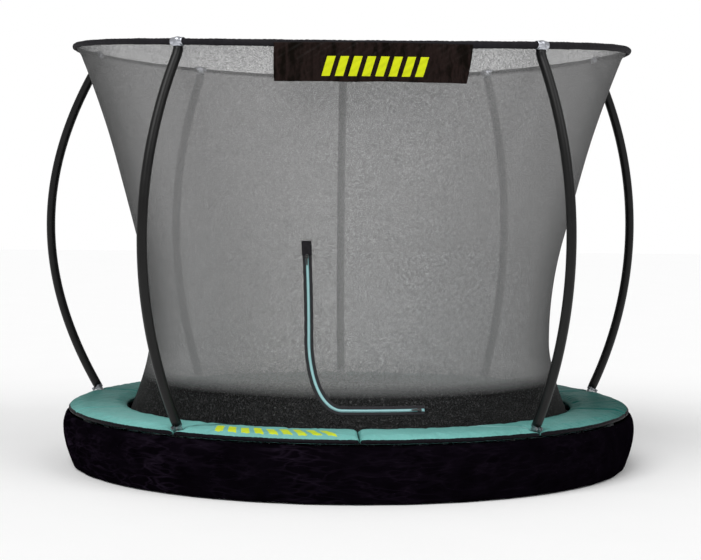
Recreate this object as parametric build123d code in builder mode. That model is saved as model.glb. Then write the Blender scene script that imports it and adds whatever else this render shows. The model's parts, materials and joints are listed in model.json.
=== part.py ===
from build123d import *
import math
import os

# Round garden trampoline with a bowed-pole net enclosure. Millimetres, +Z up.
# The solids are drawn round the Z axis and moved to AXIS_Y as they are exported, so that the
# origin is the middle of the whole footprint on the ground. The zip door and banner face -Y.

# Overall layout
PAD_OUTER_R = 1522.0
PAD_INNER_R = 1204.0
PAD_BOTTOM_Z = 286.0
PAD_EDGE_Z = 300.0
PAD_CROWN_Z = 330.0
SEGMENTS = 10
SEGMENT_ANGLE = 360.0 / SEGMENTS
JOINT_ANGLES = [18.0 + SEGMENT_ANGLE * i for i in range(SEGMENTS)]
LEG_PAIR_ANGLES = [18.0, 90.0, 162.0, 234.0, 306.0]
POLE_ANGLES = [18.0, 54.0, 90.0, 126.0, 162.0, 234.0, 306.0]
SEAM_GAP_ANGLE = 0.03

# Frame tubes
RAIL_R = 1425.0
RAIL_Z = 236.0
TUBE_R = 19.0
TUBE_BORE_R = 17.5
SOCKET_R = 22.0
SOCKET_BORE_R = 19.1
SOCKET_HALF_ANGLE = 2.7
SCREW_TURN = 2.0
SCREW_R = 3.0
RAIL_END_GAP_ANGLE = 0.2
STUB_R = 17.4
STUB_BORE_R = 15.6
LEG_SOCKET_BOTTOM_Z = 165.0
BASE_R = 21.0
BASE_BORE_R = 19.1
BASE_Z = 26.0
BASE_SOCKET_TOP_Z = 112.0
UPRIGHT_TOP_Z = 208.0
UPRIGHT_BOTTOM_Z = 50.0
FOOT_LENGTH = 90.0
FOOT_WIDTH = 62.0
FOOT_HEIGHT = 18.0
FOOT_GAP = 0.3

# Poles: one circular bow in the radial plane
BOW_R = 1930.0
BOW_CENTRE_R = -230.0
BOW_CENTRE_Z = 1229.0
STUB_TOP_Z = 322.0
POLE_BOTTOM_Z = 270.0
POLE_MID_Z = 1229.0
POLE_SPIGOT_TOP_Z = 1149.0
POLE_TOP_Z = 2114.0
POLE_TUBE_R = 19.5
POLE_TUBE_BORE_R = 17.6
SPIGOT_R = 17.4
SPIGOT_BORE_R = 15.6
SLEEVE_R = 24.5
SLEEVE_BORE_R = 19.9
SLEEVE_BOTTOM_Z = 362.0
SLEEVE_TOP_Z = 2108.0
CLAMP_Z = 345.0
CLAMP_R = 23.5
CLAMP_HEIGHT = 16.0
CAP_R = 19.4
CAP_HEIGHT = 12.0

# Top ring
RING_R = 1488.0
RING_Z = 2166.0
ROD_R = 6.0
FERRULE_R = 8.0
FERRULE_HALF_ANGLE = 1.3
RING_SLEEVE_R = 16.0
RING_SLEEVE_BORE_R = 10.0
CLIP_R = 19.0
CLIP_BORE_R = 16.4
CLIP_HALF_ANGLE = 0.5

# Mat, springs and rings
MAT_R = 1216.0
MAT_Z = 246.0
MAT_THICKNESS = 2.4
BAND_INNER_R = 1180.0
BAND_OUTER_R = 1232.0
BAND_THICKNESS = 6.0
BAND_SLOT_THICKNESS = 2.8
SPRINGS = 60
SPRING_Z = 249.9
COIL_R = 9.0
COIL_BORE_R = 6.2
COIL_INNER_END_R = 1270.0
COIL_OUTER_END_R = 1384.0
WIRE_R = 1.5
HOOK_DROP = 9.0
RAIL_HOOK_R = 1419.0
MAT_HOOK_R = 1246.1
HOOK_HOLE_R = 2.6
RING_WIRE_R = 2.0
RING_APEX_R = 1250.0
RING_BASE_R = 1224.0
RING_APEX_HALF = 7.0
RING_BASE_HALF = 20.0

# Net: radius at height, a circular waist between WAIST_LOW_Z and WAIST_HIGH_Z
NET_HALF_THICKNESS = 1.0
WAIST_R = 1087.0
WAIST_Z = 694.0
WAIST_ARC_R = 2000.0
WAIST_LOW_Z = 640.0
WAIST_HIGH_Z = 1250.0
NET_FOOT_R = 1201.0
NET_FOOT_Z = 252.0
NET_HIGH_POINTS = [(1233.0, 1505.0), (1305.0, 1747.0), (1394.0, 1986.0), (1452.0, 2112.0), (1471.0, 2146.0)]
HEM_TOP_Z = 290.0
HEM_THICKNESS = 1.4
HEM_GAP = 0.6

# Zip door: a J on the net's outer face
ZIP_ANGLE = 257.5
ZIP_TOP_Z = 1236.0
ZIP_BEND_Z = 746.0
ZIP_BEND_ANGLE = 266.5
ZIP_LOW_Z = 405.0
ZIP_END_ANGLE = 287.0
TAPE_HALF_WIDTH = 22.5
TAPE_FROM = 1.5
TAPE_TO = 2.5
STEM_HALF_WIDTH = 1.0
STEM_TO = 3.8
STEM_GAP = 0.4
TEETH_HALF_WIDTH = 3.0
TEETH_TO = 6.3
TEETH_START = 3
SLIDER_LENGTH = 22.0
SLIDER_WIDTH = 13.0
SLIDER_FROM = 2.8
SLIDER_TO = 8.8
SLIDER_CLEARANCE = 0.35
TOP_SLIDER_Z = 1160.0
SIDE_SLIDER_ANGLE = 285.6
PULL_LENGTH = 42.0
PULL_WIDTH = 8.0
PULL_THICKNESS = 1.6
PULL_PIN_R = 1.3
PULL_PIN_HEIGHT = 3.0

# Banner and skirt
BANNER_R = 1508.0
BANNER_BOTTOM_Z = 2000.0
BANNER_TOP_Z = 2176.0
BANNER_START_ANGLE = 252.0
BANNER_END_ANGLE = 288.0
CLOTH_THICKNESS = 2.0
SKIRT_TOP_R = 1519.0
SKIRT_TOP_Z = 285.0
SKIRT_BOTTOM_R = 1500.0
SKIRT_BOTTOM_Z = 6.0

# The back pole's bow reaches further than the pad's front edge: half the difference centres the whole.
AXIS_Y = -(BOW_CENTRE_R + BOW_R + SLEEVE_R - PAD_OUTER_R) / 2

os.makedirs("parts", exist_ok=True)


def bow_point(z):
    """Point of the pole's centre line at height z, as (radius, z)."""
    return (BOW_CENTRE_R + math.sqrt(BOW_R**2 - (z - BOW_CENTRE_Z) ** 2), z)


def bow_tube(z_from, z_to, outer_r, bore_r):
    """Tube, or rod if bore_r is 0, that follows the pole's bow between two heights, in the XZ plane."""
    with BuildPart() as tube:
        with BuildLine(Plane.XZ) as path:
            ThreePointArc(bow_point(z_from), bow_point((z_from + z_to) / 2), bow_point(z_to))
        with BuildSketch(Plane(origin=path.line @ 0, z_dir=path.line % 0)):
            Circle(outer_r)
            if bore_r > 0:
                Circle(bore_r, mode=Mode.SUBTRACT)
        sweep()
    return tube.part


def bow_plane(z):
    """Plane across the bow at height z, with its z axis along the pole and x outwards."""
    radius, height = bow_point(z)
    lean = math.asin((z - BOW_CENTRE_Z) / BOW_R)
    along = (-math.sin(lean), 0, math.cos(lean))
    across = (math.cos(lean), 0, math.sin(lean))
    return Plane(origin=(radius, 0, height), x_dir=across, z_dir=along)


def arc_tube(ring_r, z, outer_r, bore_r, half_angle):
    """Arc of tube about the Z axis, centred on the X axis."""
    with BuildPart() as tube:
        with BuildSketch(Plane.XZ):
            with Locations((ring_r, z)):
                Circle(outer_r)
                if bore_r > 0:
                    Circle(bore_r, mode=Mode.SUBTRACT)
        revolve(axis=Axis.Z, revolution_arc=2 * half_angle)
    return Rot(0, 0, -half_angle) * tube.part


def ring_of(solid, angles):
    """The same solid turned about Z to each angle, as one list."""
    return [Rot(0, 0, angle) * solid for angle in angles]


def export(builder, name):
    """Write a node's solids, moved from the Z axis to the place of the round frame's axis."""
    placed = Pos(0, AXIS_Y, 0) * builder.part
    placed.label = name
    export_step(placed, "parts/" + name + ".step")


def net_radius(z):
    """Radius of the net's middle surface up to the top of the waist arc: a flared foot, then the arc."""
    arc_z = max(z, WAIST_LOW_Z)
    radius = WAIST_R + WAIST_ARC_R - math.sqrt(WAIST_ARC_R**2 - (arc_z - WAIST_Z) ** 2)
    if z >= WAIST_LOW_Z:
        return radius
    slope = (WAIST_Z - WAIST_LOW_Z) / WAIST_ARC_R
    depth = WAIST_LOW_Z - NET_FOOT_Z
    flare = (NET_FOOT_R - radius - slope * depth) / depth**1.5
    return radius + slope * (WAIST_LOW_Z - z) + flare * (WAIST_LOW_Z - z) ** 1.5


def waist_point(z, offset):
    """Point at height z on the waist arc, moved outwards from the middle surface by offset."""
    r = WAIST_ARC_R - offset
    turn = math.asin((z - WAIST_Z) / WAIST_ARC_R)
    return (WAIST_R + WAIST_ARC_R - r * math.cos(turn), WAIST_Z + r * math.sin(turn))


# ---- Frame ----
joint_half_span = SEGMENT_ANGLE / 2 - RAIL_END_GAP_ANGLE
one_rail = arc_tube(RAIL_R, RAIL_Z, TUBE_R, TUBE_BORE_R, joint_half_span)
spring_step = 360.0 / SPRINGS
springs_per_rail = SPRINGS // SEGMENTS
first_spring = -spring_step * (springs_per_rail - 1) / 2
with BuildPart() as hook_drill:
    with BuildSketch(Plane.YZ.offset(RAIL_R - TUBE_R - 5)):
        with Locations((0, SPRING_Z)):
            Circle(HOOK_HOLE_R)
    extrude(amount=TUBE_R + 3)
with BuildPart() as drilled_rail:
    add(one_rail)
    for index in range(springs_per_rail):
        turn = first_spring + spring_step * index
        add(Rot(0, 0, turn) * hook_drill.part, mode=Mode.SUBTRACT)

rail_centres = [SEGMENT_ANGLE * i for i in range(SEGMENTS)]
with BuildPart() as top_rails:
    add(ring_of(drilled_rail.part, rail_centres))
export(top_rails, "top_rails")

with BuildPart() as screw_drill:
    with BuildSketch(Plane.YZ.offset(RAIL_R)):
        with Locations((0, RAIL_Z)):
            Circle(SCREW_R + 0.2)
    extrude(amount=SOCKET_R + 2)
with BuildPart() as plain_socket:
    add(arc_tube(RAIL_R, RAIL_Z, SOCKET_R, 0, SOCKET_HALF_ANGLE))
    with BuildSketch(Plane.XY.offset(LEG_SOCKET_BOTTOM_Z)):
        with Locations((RAIL_R, 0)):
            Circle(SOCKET_R)
    extrude(amount=RAIL_Z - LEG_SOCKET_BOTTOM_Z)
    with BuildSketch(Plane.XY.offset(LEG_SOCKET_BOTTOM_Z)):
        with Locations((RAIL_R, 0)):
            Circle(SOCKET_BORE_R)
    extrude(amount=UPRIGHT_TOP_Z - LEG_SOCKET_BOTTOM_Z + 1, mode=Mode.SUBTRACT)
    add(arc_tube(RAIL_R, RAIL_Z, SOCKET_BORE_R, 0, SOCKET_HALF_ANGLE + 1), mode=Mode.SUBTRACT)
    for turn in (-SCREW_TURN, SCREW_TURN):
        add(Rot(0, 0, turn) * screw_drill.part, mode=Mode.SUBTRACT)

with BuildPart() as pole_socket:
    add(plain_socket.part)
    add(bow_tube(RAIL_Z + 12, STUB_TOP_Z, STUB_R, STUB_BORE_R))
    add(arc_tube(RAIL_R, RAIL_Z, SOCKET_BORE_R, 0, SOCKET_HALF_ANGLE + 1), mode=Mode.SUBTRACT)

plain_angles = [angle for angle in JOINT_ANGLES if angle not in POLE_ANGLES]
with BuildPart() as leg_sockets:
    add(ring_of(plain_socket.part, plain_angles))
    add(ring_of(pole_socket.part, POLE_ANGLES))
export(leg_sockets, "leg_sockets")

with BuildPart() as one_upright:
    with BuildSketch(Plane.XY.offset(UPRIGHT_BOTTOM_Z)):
        with Locations((RAIL_R, 0)):
            Circle(TUBE_R)
            Circle(TUBE_BORE_R, mode=Mode.SUBTRACT)
    extrude(amount=UPRIGHT_TOP_Z - UPRIGHT_BOTTOM_Z)

with BuildPart() as leg_uprights:
    add(ring_of(one_upright.part, JOINT_ANGLES))
export(leg_uprights, "leg_uprights")

half_pair = SEGMENT_ANGLE / 2
with BuildPart() as one_base:
    add(arc_tube(RAIL_R, BASE_Z, BASE_R, 0, half_pair))
    for side in (-half_pair, half_pair):
        corner_x = RAIL_R * math.cos(math.radians(side))
        corner_y = RAIL_R * math.sin(math.radians(side))
        with Locations((corner_x, corner_y, BASE_Z)):
            Sphere(BASE_R)
        with BuildSketch(Plane.XY.offset(BASE_Z)):
            with Locations((corner_x, corner_y)):
                Circle(BASE_R)
        extrude(amount=BASE_SOCKET_TOP_Z - BASE_Z)
    add(arc_tube(RAIL_R, BASE_Z, BASE_BORE_R, 0, half_pair - 1.6), mode=Mode.SUBTRACT)
    for side in (-half_pair, half_pair):
        corner_x = RAIL_R * math.cos(math.radians(side))
        corner_y = RAIL_R * math.sin(math.radians(side))
        with BuildSketch(Plane.XY.offset(UPRIGHT_BOTTOM_Z)):
            with Locations((corner_x, corner_y)):
                Circle(BASE_BORE_R)
        extrude(amount=BASE_SOCKET_TOP_Z - UPRIGHT_BOTTOM_Z, mode=Mode.SUBTRACT)

with BuildPart() as leg_bases:
    add(ring_of(one_base.part, [angle + half_pair for angle in LEG_PAIR_ANGLES]))
export(leg_bases, "leg_bases")

with BuildPart() as one_foot:
    with BuildSketch(Plane.XY):
        with Locations((RAIL_R, 0)):
            RectangleRounded(FOOT_WIDTH, FOOT_LENGTH, 8)
    extrude(amount=FOOT_HEIGHT)
    add(arc_tube(RAIL_R, BASE_Z, BASE_R + FOOT_GAP, 0, 4), mode=Mode.SUBTRACT)

foot_inset = 5.0
foot_angles = []
for pair_angle in LEG_PAIR_ANGLES:
    foot_angles.append(pair_angle + foot_inset)
    foot_angles.append(pair_angle + SEGMENT_ANGLE - foot_inset)
with BuildPart() as foot_pads:
    add(ring_of(one_foot.part, foot_angles))
export(foot_pads, "foot_pads")

with BuildPart() as one_screw:
    with BuildSketch(Plane.YZ.offset(RAIL_R + SOCKET_R + 0.1)):
        with Locations((0, RAIL_Z)):
            RegularPolygon(6.0, 6)
    extrude(amount=5)
    with BuildSketch(Plane.YZ.offset(RAIL_R + SOCKET_BORE_R + 0.2)):
        with Locations((0, RAIL_Z)):
            Circle(SCREW_R)
    extrude(amount=SOCKET_R - SOCKET_BORE_R)
with BuildPart() as socket_screws:
    add(ring_of(one_screw.part, [angle - SCREW_TURN for angle in JOINT_ANGLES]))
    add(ring_of(one_screw.part, [angle + SCREW_TURN for angle in JOINT_ANGLES]))
export(socket_screws, "socket_screws")

# ---- Poles ----
with BuildPart() as pole_lower_tubes:
    add(ring_of(bow_tube(POLE_BOTTOM_Z, POLE_MID_Z, POLE_TUBE_R, POLE_TUBE_BORE_R), POLE_ANGLES))
export(pole_lower_tubes, "pole_lower_tubes")

with BuildPart() as one_upper_tube:
    add(bow_tube(POLE_MID_Z + 0.3, POLE_TOP_Z, POLE_TUBE_R, POLE_TUBE_BORE_R))
    add(bow_tube(POLE_SPIGOT_TOP_Z, POLE_MID_Z + 60, SPIGOT_R + 0.2, SPIGOT_BORE_R))
with BuildPart() as upper_tube_trimmed:
    add(one_upper_tube.part)
    add(bow_tube(POLE_SPIGOT_TOP_Z - 5, POLE_MID_Z + 0.2, POLE_TUBE_R + 4, SPIGOT_R), mode=Mode.SUBTRACT)
with BuildPart() as pole_upper_tubes:
    add(ring_of(upper_tube_trimmed.part, POLE_ANGLES))
export(pole_upper_tubes, "pole_upper_tubes")

with BuildPart() as pole_sleeves:
    add(ring_of(bow_tube(SLEEVE_BOTTOM_Z, SLEEVE_TOP_Z, SLEEVE_R, SLEEVE_BORE_R), POLE_ANGLES))
export(pole_sleeves, "pole_sleeves")

ear_reach = 16.0
ear_thickness = 3.0
ear_spread = 3.2
ear_middle = CLAMP_R + ear_reach / 2
bolt_hole_r = 3.2
bolt_r = 3.0
bolt_head_r = 6.0
bolt_head_height = 5.0
clamp_plane = bow_plane(CLAMP_Z)
ear_centre = clamp_plane.from_local_coords(Vector(ear_middle, 0, 0))
with BuildPart() as one_clamp:
    with BuildSketch(clamp_plane):
        Circle(CLAMP_R)
        with Locations((ear_middle - 4, 0)):
            Rectangle(ear_reach + 8, 2 * (ear_spread + ear_thickness))
            Rectangle(ear_reach + 20, 2 * ear_spread, mode=Mode.SUBTRACT)
        Circle(SLEEVE_BORE_R - 0.25, mode=Mode.SUBTRACT)
    extrude(amount=CLAMP_HEIGHT / 2, both=True)
    with BuildSketch(Plane(ear_centre, z_dir=(0, 1, 0))):
        Circle(bolt_hole_r)
    extrude(amount=20, both=True, mode=Mode.SUBTRACT)
with BuildPart() as pole_clamps:
    add(ring_of(one_clamp.part, POLE_ANGLES))
export(pole_clamps, "pole_clamps")

ear_face = ear_spread + ear_thickness
with BuildPart() as one_bolt:
    with BuildSketch(Plane(ear_centre, z_dir=(0, 1, 0)).offset(-ear_face - 6)):
        Circle(bolt_r)
    extrude(amount=2 * ear_face + 12)
    with BuildSketch(Plane(ear_centre, z_dir=(0, 1, 0)).offset(-ear_face - 0.1 - bolt_head_height)):
        RegularPolygon(bolt_head_r, 6)
    extrude(amount=bolt_head_height)
    with BuildSketch(Plane(ear_centre, z_dir=(0, 1, 0)).offset(ear_face + 0.1)):
        RegularPolygon(bolt_head_r, 6)
    extrude(amount=bolt_head_height)
with BuildPart() as clamp_bolts:
    add(ring_of(one_bolt.part, POLE_ANGLES))
export(clamp_bolts, "clamp_bolts")

with BuildPart() as one_cap:
    with BuildSketch(bow_plane(POLE_TOP_Z + 0.2)):
        Circle(CAP_R + 1.6)
    extrude(amount=CAP_HEIGHT)
    with BuildSketch(bow_plane(POLE_TOP_Z + 0.2)):
        Circle(POLE_TUBE_BORE_R - 0.3)
    extrude(amount=-24)
    with BuildSketch(Plane.XZ.offset(-6)):
        with BuildLine():
            Polyline(
                (RING_R - 15, POLE_TOP_Z + 8),
                (RING_R + 4, POLE_TOP_Z + 16),
                (RING_R + 8, RING_Z),
                (RING_R - 8, RING_Z),
                close=True,
            )
        make_face()
    extrude(amount=12)
    add(arc_tube(RING_R, RING_Z, CLIP_R, 0, CLIP_HALF_ANGLE))
    add(arc_tube(RING_R, RING_Z, CLIP_BORE_R, 0, CLIP_HALF_ANGLE + 1), mode=Mode.SUBTRACT)
with BuildPart() as pole_caps:
    add(ring_of(one_cap.part, POLE_ANGLES))
export(pole_caps, "pole_caps")

# ---- Top ring ----
with BuildPart() as ring_rods:
    add(ring_of(arc_tube(RING_R, RING_Z, ROD_R, 0, SEGMENT_ANGLE / 2 - 0.02), rail_centres))
export(ring_rods, "ring_rods")

with BuildPart() as ring_ferrules:
    add(ring_of(arc_tube(RING_R, RING_Z, FERRULE_R, ROD_R + 0.1, FERRULE_HALF_ANGLE), JOINT_ANGLES))
export(ring_ferrules, "ring_ferrules")

with BuildPart() as ring_sleeve:
    panel_half = SEGMENT_ANGLE / 2 - SEAM_GAP_ANGLE / 2
    one_ring_panel = arc_tube(RING_R, RING_Z, RING_SLEEVE_R, RING_SLEEVE_BORE_R, panel_half)
    add(ring_of(one_ring_panel, rail_centres))
export(ring_sleeve, "ring_sleeve")

# ---- Net ----
# The leans are the cosines of the net's slope near its foot and above its waist.
foot_steps = 8
foot_step = (WAIST_LOW_Z - NET_FOOT_Z) / foot_steps
net_sides = []
foot_lean = 0.96
high_lean = 0.92
with BuildPart() as one_gore:
    with BuildSketch(Plane.XZ):
        with BuildLine():
            for offset in (-NET_HALF_THICKNESS, NET_HALF_THICKNESS):
                low = []
                for index in range(foot_steps):
                    height = NET_FOOT_Z + foot_step * index
                    low.append((net_radius(height) + offset * foot_lean, height))
                high = [(radius + offset * high_lean, height) for radius, height in NET_HIGH_POINTS]
                start = waist_point(WAIST_LOW_Z, offset)
                middle = waist_point((WAIST_LOW_Z + WAIST_HIGH_Z) / 2, offset)
                end = waist_point(WAIST_HIGH_Z, offset)
                Spline(*low, start)
                ThreePointArc(start, middle, end)
                Spline(end, *high)
                net_sides.append((low[0], high[-1]))
            Line(net_sides[0][0], net_sides[1][0])
            Line(net_sides[0][1], net_sides[1][1])
        make_face()
    revolve(axis=Axis.Z, revolution_arc=SEGMENT_ANGLE - SEAM_GAP_ANGLE)
with BuildPart() as net:
    add(ring_of(one_gore.part, JOINT_ANGLES))
export(net, "net")

hem_inset = NET_HALF_THICKNESS + HEM_GAP
hem_foot_r = NET_FOOT_R - hem_inset
hem_top_r = net_radius(HEM_TOP_Z) - hem_inset
with BuildPart() as net_hem:
    with BuildSketch(Plane.XZ):
        with BuildLine():
            Polyline(
                (hem_foot_r, NET_FOOT_Z),
                (hem_foot_r - HEM_THICKNESS, NET_FOOT_Z),
                (hem_top_r - HEM_THICKNESS, HEM_TOP_Z),
                (hem_top_r, HEM_TOP_Z),
                close=True,
            )
        make_face()
    revolve(axis=Axis.Z)
export(net_hem, "net_hem")

# ---- Zip door ----
bend_steps = 14
straight_steps = 14
zip_path = []
for step in range(straight_steps):
    zip_path.append((ZIP_ANGLE, ZIP_TOP_Z + (ZIP_BEND_Z - ZIP_TOP_Z) * step / straight_steps))
for step in range(bend_steps):
    turn = math.radians(90 * step / bend_steps)
    bend_angle = ZIP_BEND_ANGLE - (ZIP_BEND_ANGLE - ZIP_ANGLE) * math.cos(turn)
    zip_path.append((bend_angle, ZIP_BEND_Z - (ZIP_BEND_Z - ZIP_LOW_Z) * math.sin(turn)))
for step in range(straight_steps + 1):
    along = step / straight_steps
    zip_path.append((ZIP_BEND_ANGLE + (ZIP_END_ANGLE - ZIP_BEND_ANGLE) * along, ZIP_LOW_Z))


def skin_point(angle, z, offset):
    """Point on the net's skin at an angle in degrees and a height, moved outwards by offset."""
    step = 2.0
    slope = (net_radius(z + step) - net_radius(z - step)) / (2 * step)
    length = math.hypot(1, slope)
    radius = net_radius(z) + offset / length
    turn = math.radians(angle)
    return Vector(radius * math.cos(turn), radius * math.sin(turn), z - offset * slope / length)


def zip_frame(angle, z, heading):
    """Plane on the net's skin: x along heading, z outwards."""
    foot = skin_point(angle, z, 0)
    normal = (skin_point(angle, z, 10) - foot).normalized()
    return Plane(origin=foot, x_dir=heading, z_dir=normal)


def ribbon(first, last, half_width, offset_from, offset_to):
    """Strip that lies on the net's skin along the zip path, between two offsets from it."""
    section = ((-1, offset_from), (1, offset_from), (1, offset_to), (-1, offset_to))
    corners = [[] for _ in section]
    for index in range(first, last + 1):
        angle, z = zip_path[index]
        before = skin_point(*zip_path[max(index - 1, 0)], 0)
        after = skin_point(*zip_path[min(index + 1, len(zip_path) - 1)], 0)
        foot = skin_point(angle, z, 0)
        normal = (skin_point(angle, z, 10) - foot).normalized()
        side = normal.cross((after - before).normalized()).normalized()
        for corner, (way, offset) in zip(corners, section):
            corner.append(foot + side * half_width * way + normal * offset)
    edges = [Edge.make_spline(corner) for corner in corners]
    faces = [Face.make_surface_from_curves(edges[k - 1], edges[k]) for k in range(4)]
    for end in (0, -1):
        faces.append(Face(Wire.make_polygon([corner[end] for corner in corners], close=True)))
    return Solid(Shell(faces))


path_end = len(zip_path) - 1
with BuildPart() as zip_tape:
    add(ribbon(0, path_end, TAPE_HALF_WIDTH, TAPE_FROM, TAPE_TO))
export(zip_tape, "zip_tape")

with BuildPart() as zip_teeth:
    add(ribbon(TEETH_START - 1, path_end - 1, STEM_HALF_WIDTH, TAPE_TO + STEM_GAP, STEM_TO))
    add(ribbon(TEETH_START - 1, path_end - 1, TEETH_HALF_WIDTH, STEM_TO - 0.1, TEETH_TO))
export(zip_teeth, "zip_teeth")


def slider_solid(frame):
    """Slider that wraps round the teeth, with a bar across its top for the pull."""
    with BuildPart() as slider:
        with BuildSketch(frame.offset(SLIDER_FROM)):
            RectangleRounded(SLIDER_LENGTH, SLIDER_WIDTH, 3)
        extrude(amount=SLIDER_TO - SLIDER_FROM)
        with BuildSketch(frame.offset(SLIDER_FROM)):
            Rectangle(SLIDER_LENGTH + 4, 2 * (STEM_HALF_WIDTH + SLIDER_CLEARANCE))
        extrude(amount=STEM_TO - SLIDER_FROM, mode=Mode.SUBTRACT)
        with BuildSketch(frame.offset(STEM_TO - 0.1 - SLIDER_CLEARANCE)):
            Rectangle(SLIDER_LENGTH + 4, 2 * (TEETH_HALF_WIDTH + SLIDER_CLEARANCE))
        extrude(amount=TEETH_TO - STEM_TO + 0.1 + 2 * SLIDER_CLEARANCE, mode=Mode.SUBTRACT)
        with BuildSketch(frame.offset(SLIDER_TO)):
            with Locations((0, -5.6), (0, 5.6)):
                Rectangle(5, 1.8)
        extrude(amount=PULL_PIN_HEIGHT + 1.6)
        with BuildSketch(Plane(frame.from_local_coords(Vector(0, -6.4, SLIDER_TO + PULL_PIN_HEIGHT)),
                               z_dir=frame.y_dir)):
            Circle(PULL_PIN_R)
        extrude(amount=12.8)
    return slider.part


def pull_solid(frame):
    """Pull tab with an eye round the slider's bar, lying back along the slider's -x."""
    pin = frame.offset(SLIDER_TO + PULL_PIN_HEIGHT)
    with BuildPart() as pull:
        with BuildSketch(Plane(pin.from_local_coords(Vector(0, -PULL_WIDTH / 2, 0)), z_dir=frame.y_dir)):
            Circle(PULL_PIN_R + 1.5)
        extrude(amount=PULL_WIDTH)
        with BuildSketch(pin.offset(-PULL_THICKNESS / 2)):
            with Locations((-PULL_LENGTH / 2 - 1, 0)):
                RectangleRounded(PULL_LENGTH, PULL_WIDTH, 2.5)
        extrude(amount=PULL_THICKNESS)
        with BuildSketch(pin.offset(-PULL_THICKNESS / 2)):
            with Locations((-PULL_LENGTH + 5, 0)):
                Circle(1.8)
        extrude(amount=PULL_THICKNESS, mode=Mode.SUBTRACT)
        with BuildSketch(Plane(pin.from_local_coords(Vector(0, -PULL_WIDTH, 0)), z_dir=frame.y_dir)):
            Circle(PULL_PIN_R + 0.1)
        extrude(amount=2 * PULL_WIDTH, mode=Mode.SUBTRACT)
    return pull.part


slope_turn = math.asin((TOP_SLIDER_Z - WAIST_Z) / WAIST_ARC_R)
zip_turn = math.radians(ZIP_ANGLE)
up_the_net = Vector(
    math.sin(slope_turn) * math.cos(zip_turn),
    math.sin(slope_turn) * math.sin(zip_turn),
    math.cos(slope_turn),
)
top_frame = zip_frame(ZIP_ANGLE, TOP_SLIDER_Z, up_the_net)
side_turn = math.radians(SIDE_SLIDER_ANGLE)
side_frame = zip_frame(SIDE_SLIDER_ANGLE, ZIP_LOW_Z, Vector(-math.sin(side_turn), math.cos(side_turn), 0))

with BuildPart() as zip_slider_top:
    add(slider_solid(top_frame))
export(zip_slider_top, "zip_slider_top")
with BuildPart() as zip_pull_top:
    add(pull_solid(top_frame))
export(zip_pull_top, "zip_pull_top")
with BuildPart() as zip_slider_side:
    add(slider_solid(side_frame))
export(zip_slider_side, "zip_slider_side")
with BuildPart() as zip_pull_side:
    add(pull_solid(side_frame))
export(zip_pull_side, "zip_pull_side")

# ---- Springs, mat and rings ----
with BuildPart() as one_spring:
    with BuildSketch(Plane.YZ.offset(COIL_INNER_END_R)):
        with Locations((0, SPRING_Z)):
            Circle(COIL_R)
            Circle(COIL_BORE_R, mode=Mode.SUBTRACT)
    extrude(amount=COIL_OUTER_END_R - COIL_INNER_END_R)
    with BuildSketch(Plane.YZ.offset(COIL_INNER_END_R)):
        with Locations((0, SPRING_Z)):
            Circle(COIL_R)
    extrude(amount=3)
    with BuildSketch(Plane.YZ.offset(COIL_OUTER_END_R - 3)):
        with Locations((0, SPRING_Z)):
            Circle(COIL_R)
    extrude(amount=3)
    with BuildSketch(Plane.YZ.offset(MAT_HOOK_R)):
        with Locations((0, SPRING_Z)):
            Circle(WIRE_R)
    extrude(amount=COIL_INNER_END_R - MAT_HOOK_R)
    with BuildSketch(Plane.YZ.offset(COIL_OUTER_END_R)):
        with Locations((0, SPRING_Z)):
            Circle(WIRE_R)
    extrude(amount=RAIL_HOOK_R - COIL_OUTER_END_R)
    for hook_r in (MAT_HOOK_R, RAIL_HOOK_R):
        with Locations((hook_r, 0, SPRING_Z)):
            Sphere(WIRE_R)
        with BuildSketch(Plane.XY.offset(SPRING_Z)):
            with Locations((hook_r, 0)):
                Circle(WIRE_R)
        extrude(amount=-HOOK_DROP)
spring_angles = [first_spring + spring_step * index for index in range(SPRINGS)]
with BuildPart() as springs:
    add(ring_of(one_spring.part, spring_angles))
export(springs, "springs")

with BuildPart() as mat:
    with BuildSketch(Plane.XY.offset(MAT_Z - MAT_THICKNESS / 2)):
        Circle(MAT_R)
    extrude(amount=MAT_THICKNESS)
export(mat, "mat")

with BuildPart() as mat_edge_band:
    with BuildSketch(Plane.XY.offset(MAT_Z - BAND_THICKNESS / 2)):
        Circle(BAND_OUTER_R)
        Circle(BAND_INNER_R, mode=Mode.SUBTRACT)
    extrude(amount=BAND_THICKNESS)
    with BuildSketch(Plane.XY.offset(MAT_Z - BAND_SLOT_THICKNESS / 2)):
        Circle(MAT_R + 0.3)
    extrude(amount=BAND_SLOT_THICKNESS, mode=Mode.SUBTRACT)
export(mat_edge_band, "mat_edge_band")

with BuildPart() as one_v_ring:
    with BuildLine(Plane.XY.offset(MAT_Z)) as triangle:
        FilletPolyline(
            (RING_BASE_R, RING_BASE_HALF),
            (RING_APEX_R, RING_APEX_HALF),
            (RING_APEX_R, -RING_APEX_HALF),
            (RING_BASE_R, -RING_BASE_HALF),
            close=True,
            radius=3,
        )
    with BuildSketch(Plane(origin=triangle.line @ 0, z_dir=triangle.line % 0)):
        Circle(RING_WIRE_R)
    sweep()
with BuildPart() as v_rings:
    add(ring_of(one_v_ring.part, spring_angles))
export(v_rings, "v_rings")

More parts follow.
